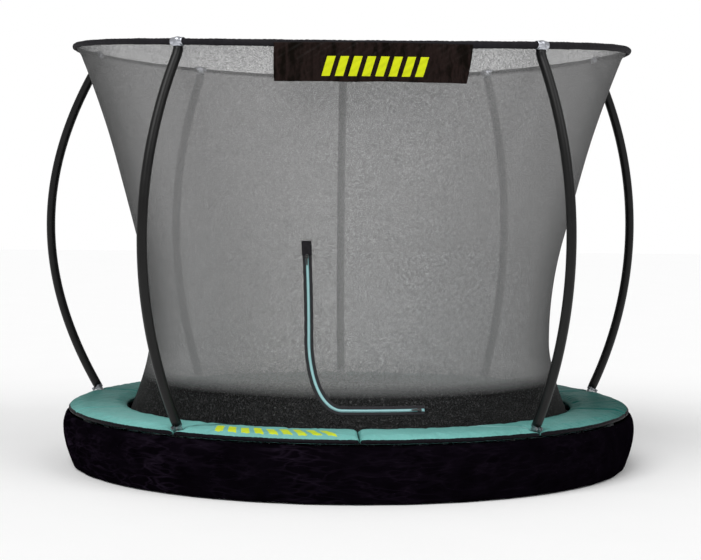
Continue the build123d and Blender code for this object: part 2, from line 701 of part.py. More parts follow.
# ---- Pad, straps, skirt and banner ----
with BuildPart() as whole_pad_segment:
    with BuildSketch(Plane.XZ):
        with BuildLine():
            Polyline(
                (PAD_INNER_R, PAD_EDGE_Z),
                (PAD_INNER_R, PAD_BOTTOM_Z),
                (PAD_OUTER_R, PAD_BOTTOM_Z),
                (PAD_OUTER_R, PAD_EDGE_Z),
            )
            Spline(
                (PAD_OUTER_R, PAD_EDGE_Z),
                (PAD_OUTER_R - 45, PAD_CROWN_Z - 6),
                (RAIL_R - 60, PAD_CROWN_Z),
                (PAD_INNER_R + 45, PAD_CROWN_Z - 6),
                (PAD_INNER_R, PAD_EDGE_Z),
            )
        make_face()
    revolve(axis=Axis.Z, revolution_arc=SEGMENT_ANGLE - 2 * SEAM_GAP_ANGLE)
pole_hole_r = 27.0
pole_cut = bow_tube(RAIL_Z + 20, CLAMP_Z + 60, pole_hole_r, 0)
pad_starts = [angle + SEAM_GAP_ANGLE for angle in JOINT_ANGLES]
with BuildPart() as safety_pad:
    for start in pad_starts:
        with BuildPart(mode=Mode.PRIVATE) as piece:
            add(Rot(0, 0, start) * whole_pad_segment.part)
            for angle in POLE_ANGLES:
                near_start = abs(angle - start) < 1
                near_end = abs((angle - start - SEGMENT_ANGLE + 180) % 360 - 180) < 1
                if near_start or near_end:
                    add(Rot(0, 0, angle) * pole_cut, mode=Mode.SUBTRACT)
        add(piece.part)
export(safety_pad, "safety_pad")

strap_width = 25.0
strap_half_angle = math.degrees(strap_width / 2 / RAIL_R)
strap_gap = 0.3
strap_thickness = 1.5
with BuildPart() as one_strap:
    add(arc_tube(RAIL_R, RAIL_Z, TUBE_R + strap_gap + strap_thickness, TUBE_R + strap_gap, strap_half_angle))
    tab_bottom = RAIL_Z + TUBE_R + strap_gap
    with BuildSketch(Plane.XY.offset(tab_bottom + 0.3)):
        with Locations((RAIL_R, 0)):
            Rectangle(strap_thickness, strap_width - 0.5)
    extrude(amount=PAD_BOTTOM_Z - tab_bottom - 0.6)
with BuildPart() as pad_straps:
    add(ring_of(one_strap.part, rail_centres))
export(pad_straps, "pad_straps")

with BuildPart() as one_skirt_panel:
    with BuildSketch(Plane.XZ):
        with BuildLine():
            Polyline(
                (SKIRT_TOP_R, SKIRT_TOP_Z),
                (SKIRT_BOTTOM_R, SKIRT_BOTTOM_Z),
                (SKIRT_BOTTOM_R - CLOTH_THICKNESS, SKIRT_BOTTOM_Z),
                (SKIRT_TOP_R - CLOTH_THICKNESS, SKIRT_TOP_Z),
                close=True,
            )
        make_face()
    revolve(axis=Axis.Z, revolution_arc=SEGMENT_ANGLE - SEAM_GAP_ANGLE)
with BuildPart() as skirt:
    add(ring_of(one_skirt_panel.part, JOINT_ANGLES))
export(skirt, "skirt")

with BuildPart() as banner_at_zero:
    with BuildSketch(Plane.XZ):
        with Locations((BANNER_R, (BANNER_BOTTOM_Z + BANNER_TOP_Z) / 2)):
            Rectangle(CLOTH_THICKNESS, BANNER_TOP_Z - BANNER_BOTTOM_Z)
    revolve(axis=Axis.Z, revolution_arc=BANNER_END_ANGLE - BANNER_START_ANGLE)
with BuildPart() as banner:
    add(Rot(0, 0, BANNER_START_ANGLE) * banner_at_zero.part)
export(banner, "banner")
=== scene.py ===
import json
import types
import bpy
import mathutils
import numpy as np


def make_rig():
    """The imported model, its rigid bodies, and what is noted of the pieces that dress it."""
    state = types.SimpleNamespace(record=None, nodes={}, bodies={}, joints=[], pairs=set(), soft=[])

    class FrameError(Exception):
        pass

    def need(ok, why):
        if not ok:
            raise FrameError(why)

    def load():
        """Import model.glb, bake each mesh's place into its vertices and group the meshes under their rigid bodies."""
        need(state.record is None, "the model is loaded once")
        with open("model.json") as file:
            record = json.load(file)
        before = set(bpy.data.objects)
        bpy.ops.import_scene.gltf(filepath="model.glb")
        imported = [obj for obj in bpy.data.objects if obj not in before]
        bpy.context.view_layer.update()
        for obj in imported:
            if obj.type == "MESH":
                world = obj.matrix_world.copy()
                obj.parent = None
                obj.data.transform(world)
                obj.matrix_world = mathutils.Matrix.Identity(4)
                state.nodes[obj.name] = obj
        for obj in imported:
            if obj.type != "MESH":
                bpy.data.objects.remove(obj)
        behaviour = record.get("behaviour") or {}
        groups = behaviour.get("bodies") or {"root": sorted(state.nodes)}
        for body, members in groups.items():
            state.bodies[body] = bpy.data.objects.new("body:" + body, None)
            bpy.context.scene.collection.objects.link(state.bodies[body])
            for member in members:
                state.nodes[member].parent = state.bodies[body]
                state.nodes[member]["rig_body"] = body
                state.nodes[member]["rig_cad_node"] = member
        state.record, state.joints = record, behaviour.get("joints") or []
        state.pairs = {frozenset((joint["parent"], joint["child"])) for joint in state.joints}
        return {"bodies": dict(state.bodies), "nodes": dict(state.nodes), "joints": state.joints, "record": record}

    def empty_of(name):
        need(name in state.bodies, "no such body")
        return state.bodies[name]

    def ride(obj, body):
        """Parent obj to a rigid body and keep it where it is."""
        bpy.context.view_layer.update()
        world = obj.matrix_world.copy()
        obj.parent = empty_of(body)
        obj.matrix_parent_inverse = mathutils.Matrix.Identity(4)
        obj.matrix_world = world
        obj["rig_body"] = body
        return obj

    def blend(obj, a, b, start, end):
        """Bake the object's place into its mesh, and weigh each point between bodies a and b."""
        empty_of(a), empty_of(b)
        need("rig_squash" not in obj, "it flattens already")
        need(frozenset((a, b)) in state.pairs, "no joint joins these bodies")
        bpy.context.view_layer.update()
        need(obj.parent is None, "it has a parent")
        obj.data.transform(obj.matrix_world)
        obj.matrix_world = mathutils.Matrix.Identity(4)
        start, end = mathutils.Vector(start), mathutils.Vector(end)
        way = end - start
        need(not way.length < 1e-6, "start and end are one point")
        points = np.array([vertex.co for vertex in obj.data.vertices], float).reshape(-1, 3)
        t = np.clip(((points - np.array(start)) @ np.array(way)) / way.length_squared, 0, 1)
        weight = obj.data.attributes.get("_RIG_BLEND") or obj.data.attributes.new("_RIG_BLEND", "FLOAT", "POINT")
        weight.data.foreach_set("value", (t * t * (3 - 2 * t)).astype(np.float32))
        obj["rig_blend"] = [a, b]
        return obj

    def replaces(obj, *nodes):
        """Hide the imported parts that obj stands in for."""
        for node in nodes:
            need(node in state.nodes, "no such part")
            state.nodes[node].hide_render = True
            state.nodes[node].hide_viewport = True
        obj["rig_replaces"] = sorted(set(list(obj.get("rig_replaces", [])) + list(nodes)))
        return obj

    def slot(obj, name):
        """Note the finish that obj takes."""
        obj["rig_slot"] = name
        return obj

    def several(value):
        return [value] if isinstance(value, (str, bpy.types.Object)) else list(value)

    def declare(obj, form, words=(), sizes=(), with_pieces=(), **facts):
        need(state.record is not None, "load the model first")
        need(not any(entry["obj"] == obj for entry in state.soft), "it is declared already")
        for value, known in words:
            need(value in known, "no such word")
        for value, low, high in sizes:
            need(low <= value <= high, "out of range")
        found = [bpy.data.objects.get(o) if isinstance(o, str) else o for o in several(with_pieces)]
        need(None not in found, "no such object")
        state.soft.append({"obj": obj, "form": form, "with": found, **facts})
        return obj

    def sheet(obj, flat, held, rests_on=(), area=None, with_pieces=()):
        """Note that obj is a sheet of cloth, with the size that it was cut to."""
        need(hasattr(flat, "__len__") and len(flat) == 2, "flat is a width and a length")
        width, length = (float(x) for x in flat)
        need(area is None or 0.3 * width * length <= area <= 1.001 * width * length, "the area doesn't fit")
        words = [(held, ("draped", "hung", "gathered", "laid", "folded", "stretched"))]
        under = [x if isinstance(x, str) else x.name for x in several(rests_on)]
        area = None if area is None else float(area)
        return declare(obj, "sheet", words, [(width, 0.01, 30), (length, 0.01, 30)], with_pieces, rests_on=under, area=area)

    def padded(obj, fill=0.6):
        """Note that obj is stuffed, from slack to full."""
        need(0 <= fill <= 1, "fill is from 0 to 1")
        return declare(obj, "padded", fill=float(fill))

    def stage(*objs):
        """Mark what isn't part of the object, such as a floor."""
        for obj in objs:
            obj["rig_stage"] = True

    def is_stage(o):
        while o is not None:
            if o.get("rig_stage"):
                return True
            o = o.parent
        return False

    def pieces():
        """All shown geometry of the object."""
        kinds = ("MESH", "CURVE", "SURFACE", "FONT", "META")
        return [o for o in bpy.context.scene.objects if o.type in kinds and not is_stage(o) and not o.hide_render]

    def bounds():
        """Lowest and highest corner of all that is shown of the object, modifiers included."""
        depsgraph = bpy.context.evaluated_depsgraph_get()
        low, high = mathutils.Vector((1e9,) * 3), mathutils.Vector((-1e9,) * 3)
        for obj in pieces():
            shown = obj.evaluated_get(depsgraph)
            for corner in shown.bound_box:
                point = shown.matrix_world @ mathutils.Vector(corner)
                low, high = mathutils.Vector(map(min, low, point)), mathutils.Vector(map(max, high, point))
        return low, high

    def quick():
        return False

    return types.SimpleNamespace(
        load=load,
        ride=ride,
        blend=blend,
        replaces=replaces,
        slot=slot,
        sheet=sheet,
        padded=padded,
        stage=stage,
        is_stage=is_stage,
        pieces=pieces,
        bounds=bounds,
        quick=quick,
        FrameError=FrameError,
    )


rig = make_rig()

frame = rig.load()

import json
import math

import bmesh
import bpy
import numpy as np
from mathutils import Vector

CAD_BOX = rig.bounds()

# Layout, in metres. New pieces are drawn round the Z axis, then moved to the frame's own axis.
AXIS_Y = -0.10125
SEGMENTS = 10
SEGMENT = 2 * math.pi / SEGMENTS
POLE_ANGLES = np.radians([18, 54, 90, 126, 162, 234, 306])

BOW_RADIUS = 1.930
BOW_CENTRE = (-0.230, 1.229)
SLEEVE_RADIUS = 0.0245
SLEEVE_BORE = 0.0200
TUBE_RADIUS = 0.0195
TUBE_BORE = 0.0176
TUBE_FROM = 0.270
TUBE_TO = 0.460
SLEEVE_FROM = 0.342
SLEEVE_TO = 2.152
BOW_TOP = 2.118

RING_RADIUS = 1.488
RING_HEIGHT = 2.166
RING_SLEEVE_RADIUS = 0.0152
RING_LIFT = 0.064
POLE_SLACK = 0.085

WAIST_RADIUS = 1.087
WAIST_HEIGHT = 0.694
WAIST_ARC = 2.000
WAIST_LOW = 0.640
WAIST_HIGH = 1.250
NET_FOOT_RADIUS = 1.201
NET_FOOT = 0.252
NET_TOP = 2.158
NET_UPPER_HEIGHTS = (1.250, 1.505, 1.747, 1.986, 2.100, 2.130, 2.158)
NET_UPPER_RADII = (1.1656, 1.233, 1.305, 1.394, 1.442, 1.455, 1.478)
NET_THICKNESS = 0.0016

ZIP_ANGLE = math.radians(257.5)
ZIP_BEND_ANGLE = math.radians(266.5)
ZIP_END_ANGLE = math.radians(287.0)
ZIP_TOP = 1.236
ZIP_BEND = 0.746
ZIP_LOW = 0.405
TAPE_WIDTH = 0.045
TAPE_LIFT = 0.0020
TEETH_WIDTH = 0.0090
TEETH_FROM = 0.0040
TEETH_TO = 0.0062
TEETH_PITCH = 0.0034
PATCH_LENGTH = 0.075

PAD_OUTER = 1.521
PAD_INNER = 1.205
PAD_BOTTOM = 0.2875
PAD_TOP = 0.330
PAD_SEAM_HEIGHT = 0.300
POLE_HOLE = 0.0275
POLE_AT_PAD = 1.4745

SKIRT_TOP = (1.5185, 0.2855)
SKIRT_BOTTOM = (1.4985, 0.0070)
BANNER_RADIUS = 1.508
BANNER_ANGLES = (254.1, 290.3)
BANNER_HEIGHTS = (1.986, 2.172)

MAT_RADIUS = 1.216
MAT_HEIGHT = 0.246
MAT_THICKNESS = 0.0024
SPRINGS = 60
SPRING_HEIGHT = 0.2499
SPRING_HOOKS = (1.2461, 1.4190)
COIL_ENDS = (1.270, 1.384)
COIL_RADIUS = 0.0075
COIL_TURNS = 36
WIRE_RADIUS = 0.0015
HOOK_DROP = 0.009


# ---------------------------------------------------------------- finishes
class Signal:
    """A shader socket that arithmetic works on: each operation adds its Math node."""

    def __init__(self, finish, socket):
        self.finish = finish
        self.socket = socket

    def math(self, operation, first, second=None):
        values = {0: first} if second is None else {0: first, 1: second}
        return self.finish.node("ShaderNodeMath", {"operation": operation}, values)

    def __add__(self, other):
        return self.math("ADD", self, other)

    def __radd__(self, other):
        return self.math("ADD", other, self)

    def __sub__(self, other):
        return self.math("SUBTRACT", self, other)

    def __rsub__(self, other):
        return self.math("SUBTRACT", other, self)

    def __mul__(self, other):
        return self.math("MULTIPLY", self, other)

    def __rmul__(self, other):
        return self.math("MULTIPLY", other, self)

    def __truediv__(self, other):
        return self.math("DIVIDE", self, other)

    def __abs__(self):
        return self.math("ABSOLUTE", self)

    def over(self, other):
        """1 where this is more than other, else 0."""
        return self.math("GREATER_THAN", self, other)

    def under(self, other):
        return self.math("LESS_THAN", self, other)

    def sine(self):
        return self.math("SINE", self)

    def cosine(self):
        return self.math("COSINE", self)

    def fraction(self):
        return self.math("FRACT", self)

    def clamped(self):
        return self.finish.node("ShaderNodeClamp", {}, {0: self})


class Finish:
    """A node material with one principled shader, and helpers that add its nodes."""

    def __init__(self, name, **constants):
        self.material = bpy.data.materials.new(name)
        self.material.use_nodes = True
        self.tree = self.material.node_tree
        self.shader = self.tree.nodes["Principled BSDF"]
        for socket, value in constants.items():
            self.shader.inputs[socket.replace("_", " ")].default_value = value
        where = self.node("ShaderNodeTexCoord", {}, {}, "Object")
        self.place = where
        parts = self.node("ShaderNodeSeparateXYZ", {}, {0: where})
        split = parts.socket.node.outputs
        self.x, self.y, self.z = (Signal(self, split[axis]) for axis in "XYZ")
        self.y = self.y - AXIS_Y

    def node(self, kind, settings, values, output=0):
        node = self.tree.nodes.new(kind)
        for key, value in settings.items():
            setattr(node, key, value)
        for key, value in values.items():
            if isinstance(value, Signal):
                self.tree.links.new(value.socket, node.inputs[key])
            else:
                node.inputs[key].default_value = value
        return Signal(self, node.outputs[output])

    def feed(self, name, signal):
        self.tree.links.new(signal.socket, self.shader.inputs[name])

    def noise(self, scale, detail=3.0, roughness=0.5, vector=None):
        values = {"Scale": scale, "Detail": detail, "Roughness": roughness, "Vector": vector or self.place}
        return self.node("ShaderNodeTexNoise", {}, values, "Fac")

    def stretched(self, scale):
        """Object coordinates multiplied by a scale on each axis."""
        return self.node("ShaderNodeMapping", {}, {"Vector": self.place, "Scale": scale})

    def mix(self, factor, first, second):
        values = {0: factor, 6: first, 7: second}
        return self.node("ShaderNodeMix", {"data_type": "RGBA"}, values, 2)

    def joined(self, x, y, z=0.0):
        return self.node("ShaderNodeCombineXYZ", {}, {0: x, 1: y, 2: z})

    def angle(self):
        """Angle round the frame's axis, in radians."""
        return self.node("ShaderNodeMath", {"operation": "ARCTAN2"}, {0: self.y, 1: self.x})

    def radius(self):
        """Distance from the Z axis."""
        return self.node("ShaderNodeMath", {"operation": "SQRT"}, {0: self.x * self.x + self.y * self.y})

    def attribute(self, name):
        """The parts of a vector attribute of the piece."""
        vector = self.node("ShaderNodeAttribute", {"attribute_name": name}, {}, "Vector")
        split = self.node("ShaderNodeSeparateXYZ", {}, {0: vector}).socket.node.outputs
        return [Signal(self, split[axis]) for axis in "XYZ"]

    def bump(self, height, distance, strength=1.0):
        values = {"Height": height, "Distance": distance, "Strength": strength}
        self.feed("Normal", self.node("ShaderNodeBump", {}, values))


def grey(value):
    return (value, value, value, 1.0)


def slanted_bars(across, up, length, height, count, lean):
    """1 on a row of leaning bars centred on the origin of (across, up), else 0.

    A bar fills 0.62 of its share of the row. The ends of the row lean with the bars."""
    along = across - up * lean
    share = length / count
    cell = (along / share + count / 2).fraction()
    in_bar = abs(cell - 0.5).under(0.31)
    in_row = abs(along).under(length / 2) * abs(up).under(height / 2)
    return in_bar * in_row


def zinc_finish(name="zinc plate", light=1.0):
    """Streaked and clouded zinc; light scales its tone."""
    finish = Finish(name, Metallic=1.0)
    cloud = finish.noise(60.0, 4.0, 0.6)
    streak = finish.noise(9.0, 2.0, 0.5, finish.stretched((6.0, 6.0, 40.0)))
    tone = cloud * 0.5 + streak * 0.5
    dark = (0.36 * light, 0.38 * light, 0.42 * light, 1)
    bright = (0.72 * light, 0.73 * light, 0.78 * light, 1)
    finish.feed("Base Color", finish.mix(tone, dark, bright))
    finish.feed("Roughness", tone * 0.25 + 0.24)
    finish.bump(cloud, 0.0002, 0.35)
    return finish


def steel_finish():
    finish = Finish("galvanised tube", Metallic=1.0)
    flakes = finish.node("ShaderNodeTexVoronoi", {}, {"Scale": 90.0, "Vector": finish.place}, "Color")
    split = finish.node("ShaderNodeSeparateColor", {}, {0: flakes})
    tone = split * 0.6 + finish.noise(30.0) * 0.4
    finish.feed("Base Color", finish.mix(tone, (0.33, 0.35, 0.37, 1), (0.62, 0.64, 0.66, 1)))
    finish.feed("Roughness", tone * 0.3 + 0.28)
    finish.bump(tone, 0.0002, 0.2)
    return finish


def rubber_finish():
    finish = Finish("black rubber", IOR=1.48)
    grain = finish.noise(700.0, 3.0)
    wear = finish.noise(25.0, 4.0)
    finish.feed("Base Color", finish.mix(wear, grey(0.012), grey(0.035)))
    finish.feed("Roughness", wear * 0.2 + 0.6)
    finish.bump(grain, 0.0002, 0.5)
    return finish


def pole_finish():
    """Smooth black sleeve: satin, a little cloudy, with faint draw lines along it."""
    finish = Finish("black pole sleeve", Specular_IOR_Level=0.22, Coat_Roughness=0.22)
    cloud = finish.noise(14.0, 4.0)
    lines = finish.noise(60.0, 2.0, 0.5, finish.stretched((10.0, 10.0, 0.4)))
    finish.feed("Base Color", finish.mix(cloud, grey(0.003), grey(0.008)))
    finish.feed("Roughness", cloud * 0.14 + lines * 0.08 + 0.27)
    finish.feed("Coat Weight", cloud * 0.06)
    finish.bump(lines + cloud * 0.5, 0.0003, 0.3)
    return finish


def webbing_finish():
    """Black woven strap: a diagonal twill of fine ribs over a duller cloud."""
    finish = Finish("black webbing", Specular_IOR_Level=0.08)
    rib = (finish.angle() * 4200.0 + finish.z * 2600.0).sine()
    cloud = finish.noise(40.0, 4.0)
    finish.feed("Base Color", finish.mix(cloud, (0.006, 0.006, 0.007, 1), (0.024, 0.022, 0.026, 1)))
    finish.feed("Roughness", cloud * 0.2 + 0.62)
    finish.bump(rib, 0.0004, 0.4)
    return finish


def net_finish():
    """Knitted net: a diamond lattice of small round holes, with blacker yarn at the front of the foot.

    Columns are counted round the axis and rows up it, both shifted by noise so that no row runs
    straight. A hole is where the two waves' mean is high. Streaks and patches of noise make the knit
    denser. Towards the left and right sides the knit is drawn denser and the yarn darker: painted
    darkening for the net seen edge-on there."""
    finish = Finish("grey knitted net", Roughness=0.8, Specular_IOR_Level=0.15)
    drift = finish.noise(85.0, 2.0, 0.6)
    columns = finish.angle() * 2100.0 + drift * 26.0
    rows = finish.z * (2 * math.pi / 0.0030) + drift * 19.0
    lattice = (columns.cosine() + rows.cosine()) * 0.5
    streak = finish.noise(1.0, 3.0, 0.6, finish.joined(finish.angle() * 95.0, finish.z * 210.0))
    patch = finish.noise(7.0, 3.0, 0.6)
    side = abs(finish.x) / finish.radius()
    # Painted darkening: the knit is drawn denser towards the left and right sides, where the net is seen edge-on.
    painted_side_darkening = ((side - 0.80) * 5.0).clamped()
    far = (finish.y * 3.0).clamped()
    low = ((finish.z - 0.46) * 14.0 + far).clamped()
    at_foot = (1.0 - low) * (painted_side_darkening * 0.5 + 0.12)
    cut = 0.03 + (streak - 0.5) * 0.52 + (patch - 0.5) * 0.08 + painted_side_darkening * 0.34 + at_foot
    hole = ((lattice - cut) * 2.0 + 0.5).clamped()
    finish.feed("Alpha", 1.0 - hole * 0.97)
    # Yarn painted darker towards the left and right sides (painted darkening), paler along the random streaks.
    yarn = finish.mix(painted_side_darkening, grey(0.200), grey(0.060))
    yarn = finish.mix(streak * (1.0 - painted_side_darkening), yarn, grey(0.26))
    glint = ((finish.noise(120.0, 3.0, 0.7) - 0.55) * 6.0).clamped()
    foot = finish.mix(glint, grey(0.004), grey(0.13))
    finish.feed("Base Color", finish.mix(low, foot, yarn))
    return finish


def mat_finish():
    """Woven mat: over-and-under cells of flat black yarn with paler specks where yarns catch light."""
    finish = Finish("black woven mat", Specular_IOR_Level=0.1)
    weave = (finish.x * 1500.0).sine() * (finish.y * 1500.0).sine()
    speck = finish.noise(95.0, 4.0, 0.75)
    drift = finish.noise(9.0, 4.0, 0.6)
    bright = ((speck - 0.54) * 7.0).clamped()
    tone = (bright * 0.75 + drift * 0.3).clamped()
    finish.feed("Base Color", finish.mix(tone, grey(0.004), (0.120, 0.120, 0.128, 1)))
    finish.feed("Roughness", 0.62 - drift * 0.2)
    finish.bump(weave + speck * 0.8, 0.0008, 0.6)
    return finish


def pad_finish():
    """Coated teal cloth: fine weave, slow fading, creases, and leaning bars on one section.

    It is painted palest at the front left, darker towards the right and paler again at the back:
    painted light over the real slow fading. The crease lines are painted paler where that painted
    light is brighter: painted highlights. A dark sliver (painted shadow) and a pale sliver (painted
    highlight) run inwards from the two front poles, and the outer edge is bound in black."""
    finish = Finish("teal pad cloth", Specular_IOR_Level=0.06)
    fade = finish.noise(3.2, 4.0, 0.6)
    cloud = finish.noise(34.0, 4.0, 0.6)
    crease = finish.noise(26.0, 3.0, 0.55, finish.stretched((1.0, 1.0, 0.2)))
    fold = ((abs(crease - 0.5)) * 14.0).clamped()
    # Painted light: paler towards the front left and again at the back, darker towards the right.
    front = (0.05 - finish.y * 0.70 - finish.x * 0.22).clamped() + (finish.y * 0.35).clamped()
    # Tone from the real slow fading and cloud, plus the painted light.
    fade_and_painted_light = (fade * 0.35 + cloud * 0.15 + front * 0.95 - 0.25).clamped()
    cloth = finish.mix(fade_and_painted_light, (0.002, 0.074, 0.063, 1), (0.166, 0.436, 0.405, 1))
    # Painted highlights: paler along the crease lines, scaled by the painted light.
    painted_light_marks = finish.mix((1.0 - fold) * fade_and_painted_light * 0.3, cloth, (0.22, 0.47, 0.45, 1))
    inward = 1.47 - finish.radius()
    # Painted shadow: the dark sliver from the pole at 234 degrees. Painted highlight: the pale sliver from the pole at
    # 306 degrees.
    slivers = ((-126.0, 0.85, (0.003, 0.030, 0.028, 1)), (-54.0, -1.15, (0.34, 0.62, 0.61, 1)))
    for degrees, lean, tone in slivers:
        along = (finish.angle() - math.radians(degrees)) * 1.35
        sliver = abs(along - inward * lean).under(inward * 0.10 + 0.004) * inward.over(0.0)
        painted_light_marks = finish.mix(sliver * 0.8, painted_light_marks, tone)
    across = (finish.angle() + math.radians(107.0)) * 1.39
    up = finish.radius() - 1.415
    bars = slanted_bars(across, up, 0.60, 0.125, 9, 0.45)
    print_wear = (bars * (cloud * 0.5 + 0.72)).clamped()
    top_only = finish.z.over(0.312)
    printed = finish.mix(print_wear * top_only, painted_light_marks, (0.56, 0.66, 0.020, 1))
    binding = finish.radius().over(PAD_OUTER - 0.009)
    finish.feed("Base Color", finish.mix(binding, printed, (0.004, 0.003, 0.005, 1)))
    finish.feed("Roughness", cloud * 0.16 + 0.34)
    weave = (finish.x * 2600.0).sine() * (finish.y * 2600.0).sine()
    finish.bump(weave * 0.12 + fold * 0.5 + cloud, 0.0016, 0.45)
    return finish


def skirt_finish():
    """Thin black cloth with a faint purple cast, criss-crossed by fine creases that lean both ways.
    The creases are painted paler, in patches and more towards the left: painted highlights.
    """
    finish = Finish("black skirt cloth", Specular_IOR_Level=0.0)
    across = finish.angle() * 1.5
    creases = None
    for lean, scale, seed in ((1.1, 1.3, 0.0), (-0.9, 1.1, 7.0), (0.3, 2.2, 19.0)):
        along, down = across * 2.2 + finish.z * lean * 5.0, finish.z * 9.0 - across * lean * 2.0
        where = finish.joined(along, down, seed)
        ridge = 1.0 - (abs(finish.noise(scale, 2.0, 0.5, where) - 0.5) * 26.0).clamped()
        creases = ridge if creases is None else creases + ridge
    # Patches where the creases carry painted highlights.
    painted_light_marks = ((finish.noise(2.6, 3.0) - 0.38) * 3.0).clamped()
    # Painted highlights along the creases, in patches, brighter towards the left.
    fold = (creases * 0.55).clamped() * painted_light_marks * (0.62 - finish.x * 0.36).clamped()
    cloud = finish.noise(11.0, 4.0)
    tone = (fold * 0.75 + cloud * 0.2).clamped()
    finish.feed("Base Color", finish.mix(tone, (0.0004, 0.0002, 0.0005, 1), (0.0170, 0.0115, 0.0210, 1)))
    finish.feed("Roughness", 0.62 - fold * 0.15 + cloud * 0.1)
    thread = (finish.angle() * 5200.0).sine() * (finish.z * 3500.0).sine()
    finish.bump(creases + cloud * 0.8 + thread * 0.03, 0.0022, 0.5)
    return finish


def banner_finish():
    """Dark satin cloth, creased across, with a row of leaning yellow-green bars. The crease lines are painted paler:
    painted highlights.
    """
    finish = Finish("banner cloth", Specular_IOR_Level=0.05)
    across = (finish.angle() + math.pi / 2) * BANNER_RADIUS
    crease = finish.noise(1.0, 5.0, 0.6, finish.joined(across * 14.0, finish.z * 5.0))
    fold = 1.0 - (abs(crease - 0.52) * 8.0).clamped()
    bars = slanted_bars(across - 0.060, finish.z - 2.060, 0.50, 0.092, 8, 0.30)
    # Painted highlights: paler along the crease lines.
    cloth = finish.mix(fold * 0.7, (0.0026, 0.0013, 0.0004, 1), (0.019, 0.011, 0.010, 1))
    outside = finish.radius().over(BANNER_RADIUS - 0.004)
    finish.feed("Base Color", finish.mix(bars * outside, cloth, (0.56, 0.62, 0.010, 1)))
    finish.feed("Roughness", 0.42 - fold * 0.08)
    finish.bump(fold + crease, 0.003, 0.5)
    return finish


def tape_finish():
    """Black zip tape, ribbed across, with a turquoise stripe along its middle below the top patch."""
    finish = Finish("zip tape cloth", Specular_IOR_Level=0.2)
    along, across, _ = finish.attribute("flat")
    rib = (along * 3200.0).sine()
    stripe = abs(across).under(0.0068) * along.over(PATCH_LENGTH)
    cloud = finish.noise(60.0, 3.0)
    black = finish.mix(cloud, (0.010, 0.009, 0.011, 1), (0.032, 0.030, 0.034, 1))
    finish.feed("Base Color", finish.mix(stripe, black, (0.23, 0.44, 0.46, 1)))
    finish.feed("Roughness", cloud * 0.2 + 0.6)
    finish.bump(rib, 0.0003, 0.5)
    return finish


def teeth_finish():
    finish = Finish("turquoise zip teeth", IOR=1.5, Coat_Weight=0.2)
    cloud = finish.noise(300.0, 2.0)
    finish.feed("Base Color", finish.mix(cloud, (0.28, 0.50, 0.52, 1), (0.42, 0.66, 0.68, 1)))
    finish.feed("Roughness", cloud * 0.2 + 0.3)
    return finish


def moulded_finish():
    finish = Finish("black moulded plastic", IOR=1.5)
    grain = finish.noise(900.0, 2.0)
    wear = finish.noise(80.0, 3.0)
    finish.feed("Base Color", finish.mix(wear, grey(0.010), grey(0.030)))
    finish.feed("Roughness", wear * 0.15 + 0.38)
    finish.bump(grain, 0.00015, 0.4)
    return finish


# ---------------------------------------------------------------- mesh helpers
def grid_faces(rows, columns, close_rows=False, close_columns=False):
    """Quads of a rows x columns grid, numbered row by row; either way can wrap round."""
    i = np.arange(rows if close_rows else rows - 1)[:, None]
    j = np.arange(columns if close_columns else columns - 1)[None, :]
    below, right = (i + 1) % rows, (j + 1) % columns
    corners = [i * columns + j, i * columns + right, below * columns + right, below * columns + j]
    return np.stack(np.broadcast_arrays(*corners), -1).reshape(-1, 4)


def piece(name, points, faces, finish, body="frame", stands_for=(), smooth=True, on_axis=True):
    """A mesh object from an array of points and an array of quads, riding on a body.

    The points are drawn round the Z axis and moved to the frame's axis, unless on_axis is false."""
    name = name.replace(" ", "_")
    mesh = bpy.data.meshes.new(name)
    shift = np.array([0, AXIS_Y if on_axis else 0, 0], np.float32)
    points = np.asarray(points, np.float32).reshape(-1, 3) + shift
    faces = np.asarray(faces, np.int32)
    mesh.vertices.add(len(points))
    mesh.vertices.foreach_set("co", points.ravel())
    mesh.loops.add(faces.size)
    mesh.loops.foreach_set("vertex_index", faces.ravel())
    mesh.polygons.add(len(faces))
    mesh.polygons.foreach_set("loop_start", np.arange(0, faces.size, faces.shape[1], dtype=np.int32))
    mesh.update(calc_edges=True)
    mesh.validate()
    mesh.polygons.foreach_set("use_smooth", np.full(len(mesh.polygons), smooth))
    made = bpy.data.objects.new(name, mesh)
    bpy.context.collection.objects.link(made)
    mesh.materials.append(finish.material)
    if body:
        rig.ride(made, body)
    if stands_for:
        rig.replaces(made, *stands_for)
    return made


def unit(vectors):
    return vectors / np.linalg.norm(vectors, axis=-1, keepdims=True)


def grid_normals(points, close_columns=False):
    """Unit normals of a grid of points: along the columns crossed with along the rows."""
    down = np.gradient(points, axis=0)
    if close_columns:
        over = (np.roll(points, -1, axis=1) - np.roll(points, 1, axis=1)) / 2
    else:
        over = np.gradient(points, axis=1)
    return unit(np.cross(over, down))


def thin_sheet(points, thickness, close_columns=False):
    """Closed sheet round a grid of middle points: its two faces, and a rim along each open edge."""
    rows, columns = points.shape[:2]
    shift = grid_normals(points, close_columns) * thickness / 2
    count = rows * columns
    front = grid_faces(rows, columns, False, close_columns)
    index = np.arange(count).reshape(rows, columns)
    edges = [(index[0], close_columns), (index[-1][::-1], close_columns)]
    if not close_columns:
        edges += [(index[::-1, 0], False), (index[:, -1], False)]
    faces = [front, front[:, ::-1] + count]
    for edge, wraps in edges:
        after = np.roll(edge, -1) if wraps else edge[1:]
        here = edge if wraps else edge[:-1]
        faces.append(np.stack([after, here, here + count, after + count], -1))
    both = np.concatenate([(points + shift).reshape(-1, 3), (points - shift).reshape(-1, 3)])
    return both, np.concatenate(faces)


def store_flat(made, flat):
    """Keeps the cloth's flat coordinates on the piece, the same on both faces."""
    values = np.tile(flat.reshape(-1, 3), (2, 1)).astype(np.float32)
    attribute = made.data.attributes.new("flat", "FLOAT_VECTOR", "POINT")
    attribute.data.foreach_set("vector", values.ravel())


